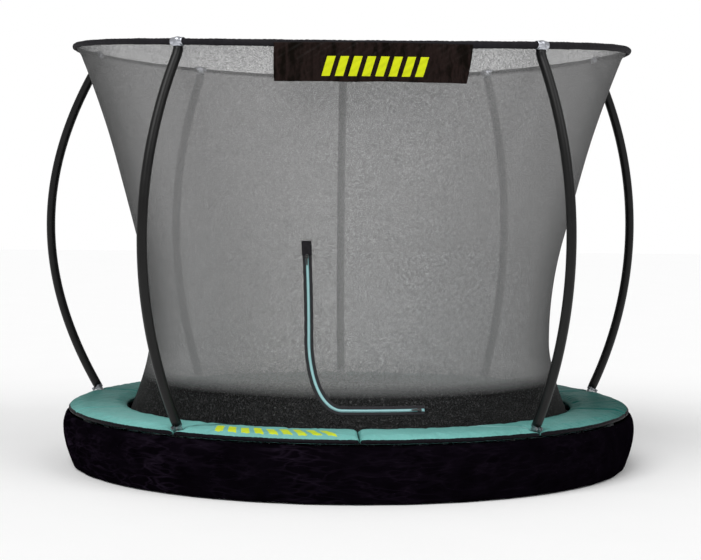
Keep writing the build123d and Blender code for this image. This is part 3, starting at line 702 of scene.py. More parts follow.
def polar(radius, angle, height):
    """Points from radius, angle and height arrays, broadcast together."""
    parts = np.broadcast_arrays(radius * np.cos(angle), radius * np.sin(angle), height)
    return np.stack(parts, -1)


def sheet_area(points):
    """Area of a grid of points, from its quads' diagonals."""
    first = points[1:, 1:] - points[:-1, :-1]
    second = points[1:, :-1] - points[:-1, 1:]
    return float(np.linalg.norm(np.cross(first, second), axis=-1).sum() / 2)


def hermite(at, places, values):
    """Smooth curve through the values at the given places: cubic Hermite with slopes from neighbours."""
    places, values = np.asarray(places, float), np.asarray(values, float)
    slopes = np.gradient(values, places)
    k = np.clip(np.searchsorted(places, at) - 1, 0, len(places) - 2)
    width = places[k + 1] - places[k]
    t = (at - places[k]) / width
    start = (1 + 2 * t) * (1 - t) ** 2 * values[k] + t * (1 - t) ** 2 * width * slopes[k]
    end = t * t * (3 - 2 * t) * values[k + 1] + t * t * (t - 1) * width * slopes[k + 1]
    return start + end


def waves(angle, counts, seed):
    """Sum of sines round the circle with seeded phases and heights that shrink with the count."""
    own = np.random.default_rng(seed)
    total = np.zeros_like(angle, dtype=float)
    for count in counts:
        total = total + np.sin(count * angle + own.uniform(0, 2 * np.pi)) * own.uniform(0.4, 1.0)
    return total / math.sqrt(len(counts))


def tube_round(centres, sides, around, radius):
    """Rings of points about a path: radius times cosine along side and sine along the second normal."""
    ahead = unit(np.gradient(centres, axis=0))
    other = np.cross(ahead, sides)
    turn = np.linspace(0, 2 * np.pi, around, endpoint=False)[None, :, None]
    radius = np.broadcast_to(radius, centres.shape[:1])[:, None, None]
    return centres[:, None] + radius * (np.cos(turn) * sides[:, None] + np.sin(turn) * other[:, None])


def fill_and_face(made, sides=40):
    """Fills the small open ends of a piece and turns its faces outward."""
    clean = bmesh.new()
    clean.from_mesh(made.data)
    bmesh.ops.holes_fill(clean, edges=[edge for edge in clean.edges if edge.is_boundary], sides=sides)
    bmesh.ops.recalc_face_normals(clean, faces=clean.faces)
    clean.to_mesh(made.data)
    clean.free()


def many(arrays, faces):
    """Several point arrays that share one face array, joined as one mesh."""
    count = len(arrays[0].reshape(-1, 3))
    points = np.concatenate([array.reshape(-1, 3) for array in arrays])
    joined = np.concatenate([faces + count * k for k in range(len(arrays))])
    return points, joined


def turned(points, angle):
    """Points turned about the Z axis."""
    c, s = math.cos(angle), math.sin(angle)
    return points @ np.array([[c, s, 0], [-s, c, 0], [0, 0, 1]])


def ring_lift(angle):
    """Rise of the ring towards its left and right, where the poles stand straighter: a cosine squared."""
    return RING_LIFT * np.cos(angle) ** 2


# ---------------------------------------------------------------- net profile
def net_radius(height):
    """The net's radius at a height.

    Between the two waist heights it is a circular arc, below it a flare that grows with depth to
    the power 1.5, and above it a smooth curve out to the ring."""
    height = np.asarray(height, float)
    arc_height = np.clip(height, WAIST_LOW, WAIST_HIGH)
    arc = WAIST_RADIUS + WAIST_ARC - np.sqrt(WAIST_ARC**2 - (arc_height - WAIST_HEIGHT) ** 2)
    slope = (WAIST_HEIGHT - WAIST_LOW) / WAIST_ARC
    depth = np.maximum(WAIST_LOW - height, 0)
    whole = WAIST_LOW - NET_FOOT
    low_arc = WAIST_RADIUS + WAIST_ARC - math.sqrt(WAIST_ARC**2 - (WAIST_LOW - WAIST_HEIGHT) ** 2)
    flare = (NET_FOOT_RADIUS - low_arc - slope * whole) / whole**1.5
    upper = hermite(np.maximum(height, WAIST_HIGH), NET_UPPER_HEIGHTS, NET_UPPER_RADII)
    return np.where(height > WAIST_HIGH, upper, arc + slope * depth + flare * depth**1.5)


def net_point(angle, height, lift):
    """Point on the net at an angle and height, moved off it along the outward normal."""
    step = 0.002
    slope = (net_radius(height + step) - net_radius(height - step)) / (2 * step)
    length = np.hypot(1, slope)
    return polar(net_radius(height) + lift / length, angle, height - lift * slope / length)


def make_net(finish):
    """Surface of revolution of the profile, a little slack: pleats at the ring and at the foot.

    Pleats are a cosine of many waves round the ring, faded in over the last 70 mm."""
    heights = np.concatenate([
        np.linspace(NET_FOOT, 0.42, 22)[:-1], np.linspace(0.42, 1.98, 56)[:-1], np.linspace(1.98, NET_TOP, 26),
    ])
    angles = np.linspace(0, 2 * np.pi, 420, endpoint=False)
    height, angle = np.meshgrid(heights, angles, indexing="ij")
    top = np.clip((height - 2.06) / (NET_TOP - 2.06), 0, 1) ** 1.5
    foot = np.clip((0.30 - height) / 0.05, 0, 1)
    pleats = np.cos(140 * angle + waves(angle, (3, 5, 7), 3)) * 0.0030 * top
    share = np.clip((height - NET_FOOT) / (NET_TOP - NET_FOOT), 0, 1)
    slack = waves(angle + height * 0.4, (9, 13, 17, 22), 4) * 0.0014 * np.sin(np.pi * share)
    near_zip = np.exp(-(((angle - math.radians(272)) / math.radians(22)) ** 2)) * (height < 1.35)
    gather = np.cos(210 * angle) * 0.0010 * foot
    radius = net_radius(height) + pleats + slack * (1 - near_zip) + gather
    raised = height + ring_lift(angle) * np.clip((height - 1.4) / (NET_TOP - 1.4), 0, 1) ** 1.5
    middle = polar(radius, angle, raised)
    points, faces = thin_sheet(middle, NET_THICKNESS, True)
    net = piece("Safety net", points, faces[:, ::-1], finish, None, ["net"])
    closed = np.concatenate([middle, middle[:, :1]], 1)
    length = sheet_area(closed) / (2 * math.pi * 1.2)
    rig.slot(net, "net_mesh")
    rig.sheet(net, flat=(2 * math.pi * 1.2, length), held="hung", rests_on=["ring_sleeve"])
    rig.blend(net, "frame", "mat", (0, 0, 0.372), (0, 0, 0.262))
    return net


def make_hem(finish):
    """Webbing round the net's foot, on its inner side, riding with the mat's edge."""
    heights = np.linspace(0.2525, 0.288, 6)
    angles = np.linspace(0, 2 * np.pi, 360, endpoint=False)
    height, angle = np.meshgrid(heights, angles, indexing="ij")
    radius = net_radius(height) - 0.0034 + waves(angle, (40, 56, 71), 8) * 0.0004
    points, faces = thin_sheet(polar(radius, angle, height), 0.0012, True)
    hem = piece("Net hem", points, faces[:, ::-1], finish, "mat", ["net_hem"])
    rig.slot(hem, "black_webbing")
    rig.sheet(hem, flat=(2 * math.pi * 1.19, 0.0375), held="stretched", rests_on=["mat_edge_band"])
    return hem


# ---------------------------------------------------------------- poles and ring
def bow(height):
    """Radius of the pole's centre line at a height: a circular arc."""
    return BOW_CENTRE[0] + np.sqrt(BOW_RADIUS**2 - (height - BOW_CENTRE[1]) ** 2)


def pole_shape(heights, angle):
    """Centre line of the pole at an angle, as radii and heights.

    It is the bow, upright above its top, stretched up to the ring, and bowed more by a half sine
    on the left and a fifth as much on the right."""
    share = (heights - SLEEVE_FROM) / (SLEEVE_TO - SLEEVE_FROM)
    more = POLE_SLACK * max(-math.cos(angle), 0.2 * math.cos(angle)) * np.sin(np.pi * np.clip(share, 0, 1))
    return bow(np.minimum(heights, BOW_TOP)) + more, heights + float(ring_lift(angle)) * share


def pole_wall(heights, outer, inner, around, angle):
    """Wall of a pole's tube: rings carried up the bow outside and down inside."""
    out, up = pole_shape(heights, angle)
    level = np.zeros(len(out))
    ahead = unit(np.stack([np.gradient(out), np.gradient(up)], -1))
    across = np.stack([ahead[:, 1], level, -ahead[:, 0]], -1)
    centres = np.stack([out, level, up], -1)
    turn = np.linspace(0, 2 * np.pi, around, endpoint=False)[None, :, None]
    ring = np.cos(turn) * across[:, None] + np.sin(turn) * np.array([0.0, 1.0, 0.0])
    sides = [centres[:, None] + np.reshape(radius, (-1, 1, 1)) * ring for radius in (outer, inner)]
    return turned(np.concatenate([sides[0], sides[1][::-1]]).reshape(-1, 3), angle)


def make_pole_sleeves(finish):
    """Smooth sleeve over each pole: a wall with eased ends and a faint raised seam at its middle."""
    rows = 70
    rise = np.linspace(SLEEVE_FROM, SLEEVE_TO, rows)
    outer_r = np.full(rows, SLEEVE_RADIUS)
    outer_r[[0, -1]] = SLEEVE_RADIUS - 0.0012
    seam = 0.0004 * np.exp(-(((rise - 1.229) / 0.004) ** 2))
    tubes = [pole_wall(rise, outer_r + seam, SLEEVE_BORE, 32, angle) for angle in POLE_ANGLES]
    points, joined = many(tubes, grid_faces(2 * rows, 32, True, True))
    sleeves = piece("Pole sleeves", points, joined, finish, "frame", ["pole_sleeves", "pole_upper_tubes"])
    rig.slot(sleeves, "black_pole_sleeve")
    return sleeves


def make_pole_tubes(finish):
    """Steel tube that runs from inside the sleeve's lower end into the frame's stub."""
    rows = 24
    heights = np.linspace(TUBE_FROM, TUBE_TO, rows)
    tubes = [pole_wall(heights, TUBE_RADIUS, TUBE_BORE, 28, angle) for angle in POLE_ANGLES]
    points, joined = many(tubes, grid_faces(2 * rows, 28, True, True))
    made = piece("Pole tubes", points, joined, finish, "frame", ["pole_lower_tubes"])
    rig.slot(made, "galvanised_steel")
    return made


def make_pole_caps(finish):
    """Silver end of each pole: a domed cup under and over the ring, and a clip round the ring."""
    path = np.array([
        (1.4832, 2.144, 0.0210), (1.4832, 2.144, 0.0262), (1.4834, 2.147, 0.0272), (1.4842, 2.156, 0.0270),
        (1.4860, 2.166, 0.0254), (1.4876, 2.175, 0.0240), (1.4880, 2.181, 0.0212),
        (1.4880, 2.1855, 0.0165), (1.4880, 2.1885, 0.0090), (1.4880, 2.1895, 0.0004),
    ])
    around = np.linspace(0, 2 * np.pi, 32, endpoint=False)
    cup = np.stack(np.broadcast_arrays(
        path[:, :1] + path[:, 2:] * np.cos(around), path[:, 2:] * np.sin(around), path[:, 1:2]), -1)
    cup_faces = grid_faces(len(path), 32, False, True)
    along = np.linspace(-0.036, 0.036, 11)[:, None]
    swell = 0.0182 + 0.0030 * np.cos(along / 0.036 * 1.35)
    bore = np.full((11, 1), 0.0174)
    halves = [
        np.stack(np.broadcast_arrays(
            RING_RADIUS + r * np.cos(around), along, RING_HEIGHT + r * np.sin(around)), -1)
        for r in (swell, bore)
    ]
    clip = np.concatenate([halves[0], halves[1][::-1]])
    clip_faces = grid_faces(22, 32, True, True)
    parts, faces, count = [], [], 0
    for angle in POLE_ANGLES:
        lift = np.array([0.0, 0.0, float(ring_lift(angle))])
        for points, own in ((cup, cup_faces), (clip, clip_faces)):
            parts.append(turned((points + lift).reshape(-1, 3), angle))
            faces.append(own + count)
            count += len(parts[-1])
    caps = piece("Pole caps", np.concatenate(parts), np.concatenate(faces), finish, "frame", ["pole_caps"])
    fill_and_face(caps)
    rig.slot(caps, "zinc_fixings")
    return caps


def make_ring_sleeve(finish):
    """Gathered cloth tube: a ring section whose radius ripples along the ring and round the section.

    It is fuller at the front right and slimmer at the back left, by a cosine."""
    along = np.linspace(0, 2 * np.pi, 1100, endpoint=False)
    turn = np.linspace(0, 2 * np.pi, 20, endpoint=False)
    a, t = np.meshgrid(along, turn, indexing="ij")
    near_clip = np.min(np.abs((a[..., None] - POLE_ANGLES + np.pi) % (2 * np.pi) - np.pi), -1)
    loose = np.clip((near_clip - 0.010) / 0.02, 0, 1)
    gathers = waves(a + 0.004 * np.sin(2 * t), (230, 311, 367, 420), 11) * 0.0011
    ripple = gathers + waves(a, (37, 61), 12) * 0.0007
    fullness = 1 + 0.22 * np.cos(a + 0.9)
    radius = RING_SLEEVE_RADIUS * fullness * 0.9 + ripple * loose
    sag = 0.0022 * np.maximum(-np.sin(t), 0) ** 2 * loose
    shells = []
    for inset in (0.0, 0.0012):
        r = radius - inset
        height = RING_HEIGHT + ring_lift(a) + r * np.sin(t) - sag
        shells.append(polar(RING_RADIUS + r * np.cos(t), a, height))
    faces = grid_faces(1100, 20, True, True)
    count = 1100 * 20
    points = np.concatenate([shell.reshape(-1, 3) for shell in shells])
    joined = np.concatenate([faces, faces[:, ::-1] + count])
    inside = ["ring_sleeve", "ring_rods", "ring_ferrules"]
    sleeve = piece("Ring sleeve", points, joined, finish, "frame", inside)
    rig.slot(sleeve, "black_webbing")
    flat = (2 * math.pi * RING_RADIUS * 1.1, 0.098)
    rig.sheet(sleeve, flat=flat, held="gathered", rests_on=["Pole_caps"])
    return sleeve


def make_banner(finish):
    """Cloth hung from the ring: waves across it grow downwards, and its right edge leans in."""
    low, high = BANNER_HEIGHTS
    rows, columns = 40, 240
    v, u = np.meshgrid(np.linspace(0, 1, rows), np.linspace(0, 1, columns), indexing="ij")
    start, end = np.radians(BANNER_ANGLES)
    angle = start + (end - start - np.radians(1.1) * (1 - v)) * u
    fade = 0.35 + 0.65 * (1 - v)
    wave = waves(angle + 0.05 * v, (31, 47, 70, 112), 21) * 0.0036 * fade
    hump = waves(angle * 2 - 0.4 * v, (57, 90), 22) * 0.0016
    radius = BANNER_RADIUS + 0.0015 + wave + hump + 0.006 * np.sin(np.pi * v) - 0.004 * (1 - v)
    edge = waves(angle, (19, 33), 23) * 0.0022 * (1 - v)
    height = low + 0.003 + (high - low - 0.004) * v + edge
    middle = polar(radius, angle, height)
    points, faces = thin_sheet(middle, 0.0011)
    banner = piece("Banner", points, faces[:, ::-1], finish, "frame", ["banner"])
    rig.slot(banner, "banner_cloth")
    flat = (sheet_area(middle) / (high - low), high - low)
    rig.sheet(banner, flat=flat, held="hung", rests_on=["ring_sleeve"])
    return banner


# ---------------------------------------------------------------- zip door
def zip_track(steps):
    """Angle and height along the J: straight down, a quarter ellipse, then level, evenly spaced."""
    turn = np.linspace(0, np.pi / 2, 60)
    angles = np.concatenate([
        np.full(60, ZIP_ANGLE),
        ZIP_BEND_ANGLE - (ZIP_BEND_ANGLE - ZIP_ANGLE) * np.cos(turn[1:]),
        np.linspace(ZIP_BEND_ANGLE, ZIP_END_ANGLE, 60)[1:],
    ])
    heights = np.concatenate([
        np.linspace(ZIP_TOP, ZIP_BEND, 60),
        ZIP_BEND - (ZIP_BEND - ZIP_LOW) * np.sin(turn[1:]),
        np.full(59, ZIP_LOW),
    ])
    points = net_point(angles, heights, 0)
    run = np.concatenate([[0], np.cumsum(np.linalg.norm(np.diff(points, axis=0), axis=1))])
    even = np.linspace(0, run[-1], steps)
    return even, np.interp(even, run, angles), np.interp(even, run, heights)


def zip_axes(angles, heights):
    """Foot points on the net with unit vectors along the zip, across it and outwards."""
    foot = net_point(angles, heights, 0)
    out = unit(net_point(angles, heights, 0.01) - foot)
    ahead = unit(np.gradient(foot, axis=0))
    across = unit(np.cross(out, ahead))
    return foot, ahead, across, out


def make_zip_tape(finish):
    """Strip carried along the J, slightly raised in the middle under the teeth."""
    run, angles, heights = zip_track(360)
    foot, _, across, out = zip_axes(angles, heights)
    side = np.linspace(-1, 1, 13)[None, :, None]
    lift = TAPE_LIFT + 0.0002 * (1 - side**2)
    width = TAPE_WIDTH / 2 * (1 + 0.02 * np.sin(run * 90)[:, None, None])
    middle = foot[:, None] + across[:, None] * side * width + out[:, None] * lift
    points, faces = thin_sheet(middle, 0.0009)
    tape = piece("Zip tape", points, faces, finish, "frame", ["zip_tape"])
    flat = np.stack(np.broadcast_arrays(run[:, None], side[0, :, 0][None] * TAPE_WIDTH / 2, 0.0), -1)
    store_flat(tape, flat)
    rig.slot(tape, "zip_tape")
    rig.sheet(tape, flat=(TAPE_WIDTH, run[-1]), held="stretched", rests_on=["net"])
    return tape


def make_top_patch(finish):
    """Doubled patch sewn over the tape's top end: a rounded rectangle with a raised rim."""
    run, angles, heights = zip_track(360)
    keep = run < PATCH_LENGTH
    foot, _, across, out = zip_axes(angles[keep], heights[keep])
    side = np.linspace(-1, 1, 17)[None, :, None]
    width = TAPE_WIDTH / 2 + 0.002
    lift = 0.0036 + 0.0008 * np.abs(side) ** 6
    middle = foot[:, None] + across[:, None] * side * width + out[:, None] * lift
    points, faces = thin_sheet(middle, 0.0012)
    patch = piece("Zip top patch", points, faces, finish, "frame")
    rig.slot(patch, "black_webbing")
    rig.sheet(patch, flat=(2 * width, PATCH_LENGTH), held="stretched", rests_on=["Zip_tape"])
    return patch


def make_zip_teeth(finish):
    """Two rows of interlocked teeth: small chamfered blocks set along the J, left and right in turn."""
    run, angles, heights = zip_track(1500)
    foot, ahead, across, out = zip_axes(angles, heights)
    first, last = PATCH_LENGTH + 0.002, run[-1] - 0.012
    at = np.arange(first, last, TEETH_PITCH / 2)
    pick = lambda array: np.stack([np.interp(at, run, array[:, k]) for k in range(3)], -1)
    centre, along, sideways, up = pick(foot), unit(pick(ahead)), unit(pick(across)), unit(pick(out))
    hand = np.where(np.arange(len(at)) % 2 == 0, 1.0, -1.0)[:, None]
    half_length, reach = TEETH_PITCH * 0.36, TEETH_WIDTH / 2
    outline = np.array([(-1, 0.8), (1, 0.8), (1, -0.05), (0.5, -0.35), (-0.5, -0.35), (-1, -0.05)])
    level = [(TEETH_FROM, 1.0), (TEETH_TO - 0.0005, 1.0), (TEETH_TO, 0.72)]
    rings = []
    for lift, shrink in level:
        x = outline[:, 0] * half_length * shrink
        y = 0.3 * reach + (outline[:, 1] * reach - 0.3 * reach) * shrink
        rings.append(
            centre[:, None] + along[:, None] * x[None, :, None]
            + (sideways * hand)[:, None] * y[None, :, None] + up[:, None] * lift
        )
    blocks = np.stack(rings, 1)
    sides = grid_faces(3, 6, False, True)
    caps = np.array([[3, 2, 1, 0], [5, 4, 3, 0], [12, 13, 14, 15], [12, 15, 16, 17]])
    faces = np.concatenate([sides, caps])
    count = 18
    all_faces = (faces[None] + count * np.arange(len(at))[:, None, None]).reshape(-1, 4)
    teeth = piece("Zip teeth", blocks, all_faces, finish, "frame", ["zip_teeth"], smooth=False)
    fill_and_face(teeth)
    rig.slot(teeth, "zip_teeth")
    return teeth


# ---------------------------------------------------------------- mat and springs
def make_mat(finish):
    """Round cloth, level but for faint ripples that grow towards its edge."""
    radii = np.concatenate([[0.0005], np.linspace(0.02, MAT_RADIUS - 0.0005, 60)])
    angles = np.linspace(0, 2 * np.pi, 240, endpoint=False)
    r, a = np.meshgrid(radii, angles, indexing="ij")
    ripple = waves(a, (7, 11, 16), 31) * 0.0003 * (r / MAT_RADIUS)
    height = MAT_HEIGHT + ripple * (r < 1.16)
    points, faces = thin_sheet(polar(r, a, height), MAT_THICKNESS * 0.9, True)
    mat = piece("Jumping mat", points, faces, finish, "mat", ["mat"])
    close_middle(mat)
    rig.slot(mat, "mat_weave")
    flat, area = (2 * MAT_RADIUS, 2 * MAT_RADIUS), math.pi * MAT_RADIUS**2
    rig.sheet(mat, flat=flat, area=area, held="stretched", rests_on=["springs"])
    return mat


def close_middle(made):
    """Closes the pinhole in the middle of a polar grid by merging its innermost points."""
    clean = bmesh.new()
    clean.from_mesh(made.data)
    inner = [vert for vert in clean.verts if math.hypot(vert.co.x, vert.co.y - AXIS_Y) < 0.002]
    bmesh.ops.remove_doubles(clean, verts=inner, dist=0.0012)
    bmesh.ops.recalc_face_normals(clean, faces=clean.faces)
    clean.to_mesh(made.data)
    clean.free()


def make_edge_band(finish):
    """Folded band round the mat's edge: a flat ring section with soft corners and stitch dimples."""
    section = np.array([
        (1.181, -0.5), (1.180, 0.0), (1.181, 0.5), (1.19, 0.92), (1.21, 1.0), (1.226, 0.95),
        (1.2315, 0.5), (1.232, 0.0), (1.2315, -0.5), (1.226, -0.95), (1.21, -1.0), (1.19, -0.92),
    ])
    angles = np.linspace(0, 2 * np.pi, 720, endpoint=False)
    dimple = 1 - 0.06 * (np.cos(angles * 360)[:, None] > 0.6)
    radius = np.broadcast_to(section[None, :, 0], (720, 12))
    height = MAT_HEIGHT + 0.0030 * section[None, :, 1] * dimple
    points = polar(radius, angles[:, None], height)
    faces = grid_faces(720, 12, True, True)[:, ::-1]
    band = piece("Mat edge band", points, faces, finish, "mat", ["mat_edge_band"])
    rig.slot(band, "black_webbing")
    return band


def make_springs(finish):
    """Wire carried along a hook, a close coil and a second hook; each spring stretches with the mat."""
    inner, outer = SPRING_HOOKS
    turn = np.linspace(0, 2 * np.pi * COIL_TURNS, COIL_TURNS * 8 + 1)
    grown = COIL_RADIUS * np.clip(np.minimum(turn, turn[-1] - turn) / (1.2 * np.pi), 0.05, 1)
    start, end = COIL_ENDS
    coil = np.stack([
        start + (end - start) * turn / turn[-1], grown * np.cos(turn), SPRING_HEIGHT + grown * np.sin(turn),
    ], -1)
    drop = np.linspace(HOOK_DROP, 0.002, 4)
    straight = lambda out, down: np.stack(np.broadcast_arrays(out, 0.0, SPRING_HEIGHT - down), -1)
    first = straight(inner, drop)
    reach = straight(np.linspace(inner + 0.002, start - 0.002, 4), 0.0)
    reach_out = straight(np.linspace(end + 0.002, outer - 0.002, 4), 0.0)
    last = straight(outer, drop[::-1])
    path = np.concatenate([first, reach, coil, reach_out, last])
    ahead = unit(np.gradient(path, axis=0))
    side = np.empty_like(path)
    side[:, 0], side[:, 1], side[:, 2] = 0.0, 1.0, 0.0
    radial = np.stack([np.zeros(len(path)), path[:, 1], path[:, 2] - SPRING_HEIGHT], -1)
    wound = slice(8, 8 + len(coil))
    side[wound] = radial[wound] + 1e-6
    side = unit(side - ahead * (side * ahead).sum(-1, keepdims=True))
    rings = tube_round(path, side, 5, WIRE_RADIUS)
    faces = grid_faces(len(path), 5, False, True)
    for index in range(SPRINGS):
        angle = math.radians(3 + 6 * index)
        points = turned(rings.reshape(-1, 3), angle)
        stands_for = ["springs"] if index == 0 else []
        spring = piece(f"Spring {index + 1:02d}", points, faces, finish, None, stands_for)
        fill_and_face(spring)
        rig.slot(spring, "spring_steel")
        hook = lambda radius: (radius * math.cos(angle), radius * math.sin(angle) + AXIS_Y, SPRING_HEIGHT)
        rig.blend(spring, "frame", "mat", hook(outer - 0.03), hook(inner + 0.02))


# ---------------------------------------------------------------- pad and skirt
def pad_section(rows, columns, gap_start, gap_end):
    """Closed crowned section swept round one segment: superellipse halves above and below the seam.

    Near each end the section flattens and its ends draw back, more round a pole's hole."""
    loop = np.linspace(0, 2 * np.pi, rows, endpoint=False)
    u, t = np.meshgrid(np.linspace(0, 1, columns), loop, indexing="ij")
    middle, half = (PAD_OUTER + PAD_INNER) / 2, (PAD_OUTER - PAD_INNER) / 2
    across = np.sign(np.cos(t)) * np.abs(np.cos(t)) ** 0.62
    up = np.sign(np.sin(t)) * np.abs(np.sin(t)) ** 0.75
    radius = middle + half * across
    near_end = np.minimum(u, 1 - u) * SEGMENT * middle
    pucker = 1 - 0.45 * np.exp(-near_end / 0.012)
    rise = np.where(up > 0, PAD_TOP - PAD_SEAM_HEIGHT, PAD_SEAM_HEIGHT - PAD_BOTTOM)
    height = PAD_SEAM_HEIGHT + up * rise * pucker

    def end_gap(gap, has_pole):
        hole = np.sqrt(np.maximum(POLE_HOLE**2 - (radius - POLE_AT_PAD) ** 2, 0)) if has_pole else 0
        return np.maximum(gap, hole) / radius

    start = end_gap(*gap_start)
    end = SEGMENT - end_gap(*gap_end)
    return radius, start + (end - start) * u, height, u, t


def puffed(made, cap):
    """Cloth simulation of a filled cover.

    It is remeshed, blown up a little and held at its seams, and its travel is capped."""
    bpy.context.view_layer.objects.active = made
    made.select_set(True)
    remesh = made.modifiers.new("even mesh", "REMESH")
    remesh.mode = "VOXEL"
    remesh.voxel_size = 0.0085
    bpy.ops.object.modifier_apply(modifier=remesh.name)
    count = len(made.data.vertices)
    before = np.empty(count * 3, np.float32)
    made.data.vertices.foreach_get("co", before)
    before = before.reshape(-1, 3)
    radius = np.hypot(before[:, 0], before[:, 1])
    at_edge = np.minimum(PAD_OUTER - radius, radius - PAD_INNER) < 0.010
    at_edge |= before[:, 2] < PAD_BOTTOM + 0.004
    group = made.vertex_groups.new(name="held")
    group.add(np.flatnonzero(at_edge).tolist(), 1.0, "REPLACE")
    cloth = made.modifiers.new("cover", "CLOTH")
    cloth.settings.effector_weights.gravity = 0
    cloth.settings.use_pressure = True
    cloth.settings.uniform_pressure_force = 4.0
    cloth.settings.vertex_group_mass = "held"
    cloth.settings.quality = 4
    cloth.settings.shrink_min = -0.02
    cloth.point_cache.frame_start = 1
    cloth.point_cache.frame_end = 16
    for step in range(1, 17):
        bpy.context.scene.frame_set(step)
    evaluated = made.evaluated_get(bpy.context.evaluated_depsgraph_get())
    after = np.empty(count * 3, np.float32)
    evaluated.data.vertices.foreach_get("co", after)
    moved = after.reshape(-1, 3) - before
    made.modifiers.remove(cloth)
    bpy.context.scene.frame_set(1)
    travel = np.linalg.norm(moved, axis=1, keepdims=True)
    moved = moved * np.minimum(1, cap / np.maximum(travel, 1e-9))
    shape = before + moved
    shape[:, 2] = np.clip(shape[:, 2], PAD_BOTTOM - 0.0005, PAD_TOP + 0.006)
    made.data.vertices.foreach_set("co", shape.astype(np.float32).ravel())
    made.vertex_groups.clear()
    made.select_set(False)


def pad_shape(name, gap_start, gap_end, finish, seed):
    """One padded section lying from angle 0 to the segment's width, as a mesh object."""
    radius, angle, height, u, t = pad_section(56, 150, gap_start, gap_end)
    top = np.clip(np.sin(t), 0, 1)
    wrinkle = waves(angle * 9 + radius * 6, (5, 9, 14), seed) * 0.0011 * top
    tug = waves(angle * 3 - radius * 30, (2, 5, 8), seed + 1) * 0.0009 * top
    ends = 0.0022 * np.exp(-np.minimum(u, 1 - u) * 18) * np.cos(radius * 170) * top
    points = polar(radius, angle, height - 0.002 * top + wrinkle + tug + ends)
    rows, columns = 150, 56
    grid = points.reshape(rows, columns, 3)
    faces = grid_faces(rows, columns, False, True)
    caps = []
    for row, flip in ((0, False), (rows - 1, True)):
        k = np.arange(columns // 2)
        a = row * columns
        back, further_back = (columns - k) % columns, (columns - k - 1) % columns
        quads = np.stack([a + k, a + k + 1, a + further_back, a + back], -1)[1:-1]
        caps.append(quads if not flip else quads[:, ::-1])
    made = piece(name, grid, np.concatenate([faces] + caps), finish, None, on_axis=False)
    fill_and_face(made, 8)
    return made


def make_pad(finish):
    """Ten padded sections. Two shapes are blown up, one with a pole at both ends and one with a pole
    at one end. The sections are turned or mirrored copies with wrinkles of their own."""
    close, seam = 0.0012, 0.0010
    both = pad_shape("pad both", (close, True), (close, True), finish, 41)
    single = pad_shape("pad single", (close, True), (seam, False), finish, 51)
    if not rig.quick():
        for made in (both, single):
            puffed(made, 0.007)
    shapes = []
    for made in (both, single):
        count = len(made.data.vertices)
        points = np.empty(count * 3, np.float32)
        made.data.vertices.foreach_get("co", points)
        shapes.append((made.data, points.reshape(-1, 3)))
    poles = {int(round(math.degrees(angle))) for angle in POLE_ANGLES}
    for index in range(SEGMENTS):
        start = 18 + 36 * index
        at_start, at_end = start % 360 in poles, (start + 36) % 360 in poles
        mesh, points = shapes[0] if at_start and at_end else shapes[1]
        section = bpy.data.objects.new(f"Pad_section_{index + 1}", mesh.copy())
        bpy.context.collection.objects.link(section)
        shape = points.copy()
        if at_end and not at_start:
            shape = turned(shape * [1, -1, 1], SEGMENT)
            section.data.flip_normals()
        shape = turned(shape, math.radians(start))
        angle = np.arctan2(shape[:, 1], shape[:, 0])
        radius = np.hypot(shape[:, 0], shape[:, 1])
        top = np.clip((shape[:, 2] - PAD_SEAM_HEIGHT) / 0.03, 0, 1)
        wrinkles = waves(angle + radius * 0.7, (23, 37, 55), 60) * 0.0012
        wrinkles += waves(angle * 2 - radius * 2, (11, 29), 61) * 0.0010
        shape[:, 2] += top * wrinkles
        shape[:, 1] += AXIS_Y
        section.data.vertices.foreach_set("co", shape.astype(np.float32).ravel())
        section.data.polygons.foreach_set("use_smooth", np.ones(len(section.data.polygons), bool))
        section.data.update()
        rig.ride(section, "frame")
        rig.replaces(section, "safety_pad")
        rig.slot(section, "teal_pad")
        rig.padded(section, fill=0.7)
    for made in (both, single):
        bpy.data.objects.remove(made)


def make_skirt(finish):
    """Cloth hung from the pad's edge to the ground: a belly that is fullest high up, with slow
    upright folds and leaning ones that deepen downwards."""
    rows, columns = 26, 900
    around = np.linspace(0, 2 * np.pi, columns, endpoint=False)
    v, a = np.meshgrid(np.linspace(0, 1, rows), around, indexing="ij")
    depth = 1 - v
    line = SKIRT_BOTTOM[0] + (SKIRT_TOP[0] - SKIRT_BOTTOM[0]) * v
    fold = waves(a + 0.03 * np.sin(v * 5), (40, 63, 88, 120), 71) * 0.0032
    fold = fold * np.sin(np.pi * np.clip(v, 0.08, 0.98)) ** 0.7
    sweep = waves(a - 0.22 * v, (17, 26, 38), 72) * 0.0030 * depth
    belly = 0.036 * np.sin(np.pi * v**1.6) ** 0.5
    radius = line + fold + sweep + belly
    hem = waves(a, (21, 34, 55), 73) * 0.0016 * depth
    height = SKIRT_BOTTOM[1] + (SKIRT_TOP[1] - SKIRT_BOTTOM[1]) * v + np.maximum(hem, -0.004)
    middle = polar(radius, a, height)
    points, faces = thin_sheet(middle, 0.0014, True)
    skirt = piece("Skirt", points, faces[:, ::-1], finish, "frame", ["skirt"])
    closed = np.concatenate([middle, middle[:, :1]], 1)
    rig.slot(skirt, "black_skirt")
    length = 2 * math.pi * 1.51
    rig.sheet(skirt, flat=(length, sheet_area(closed) / length), held="hung", rests_on=["safety_pad"])
    return skirt


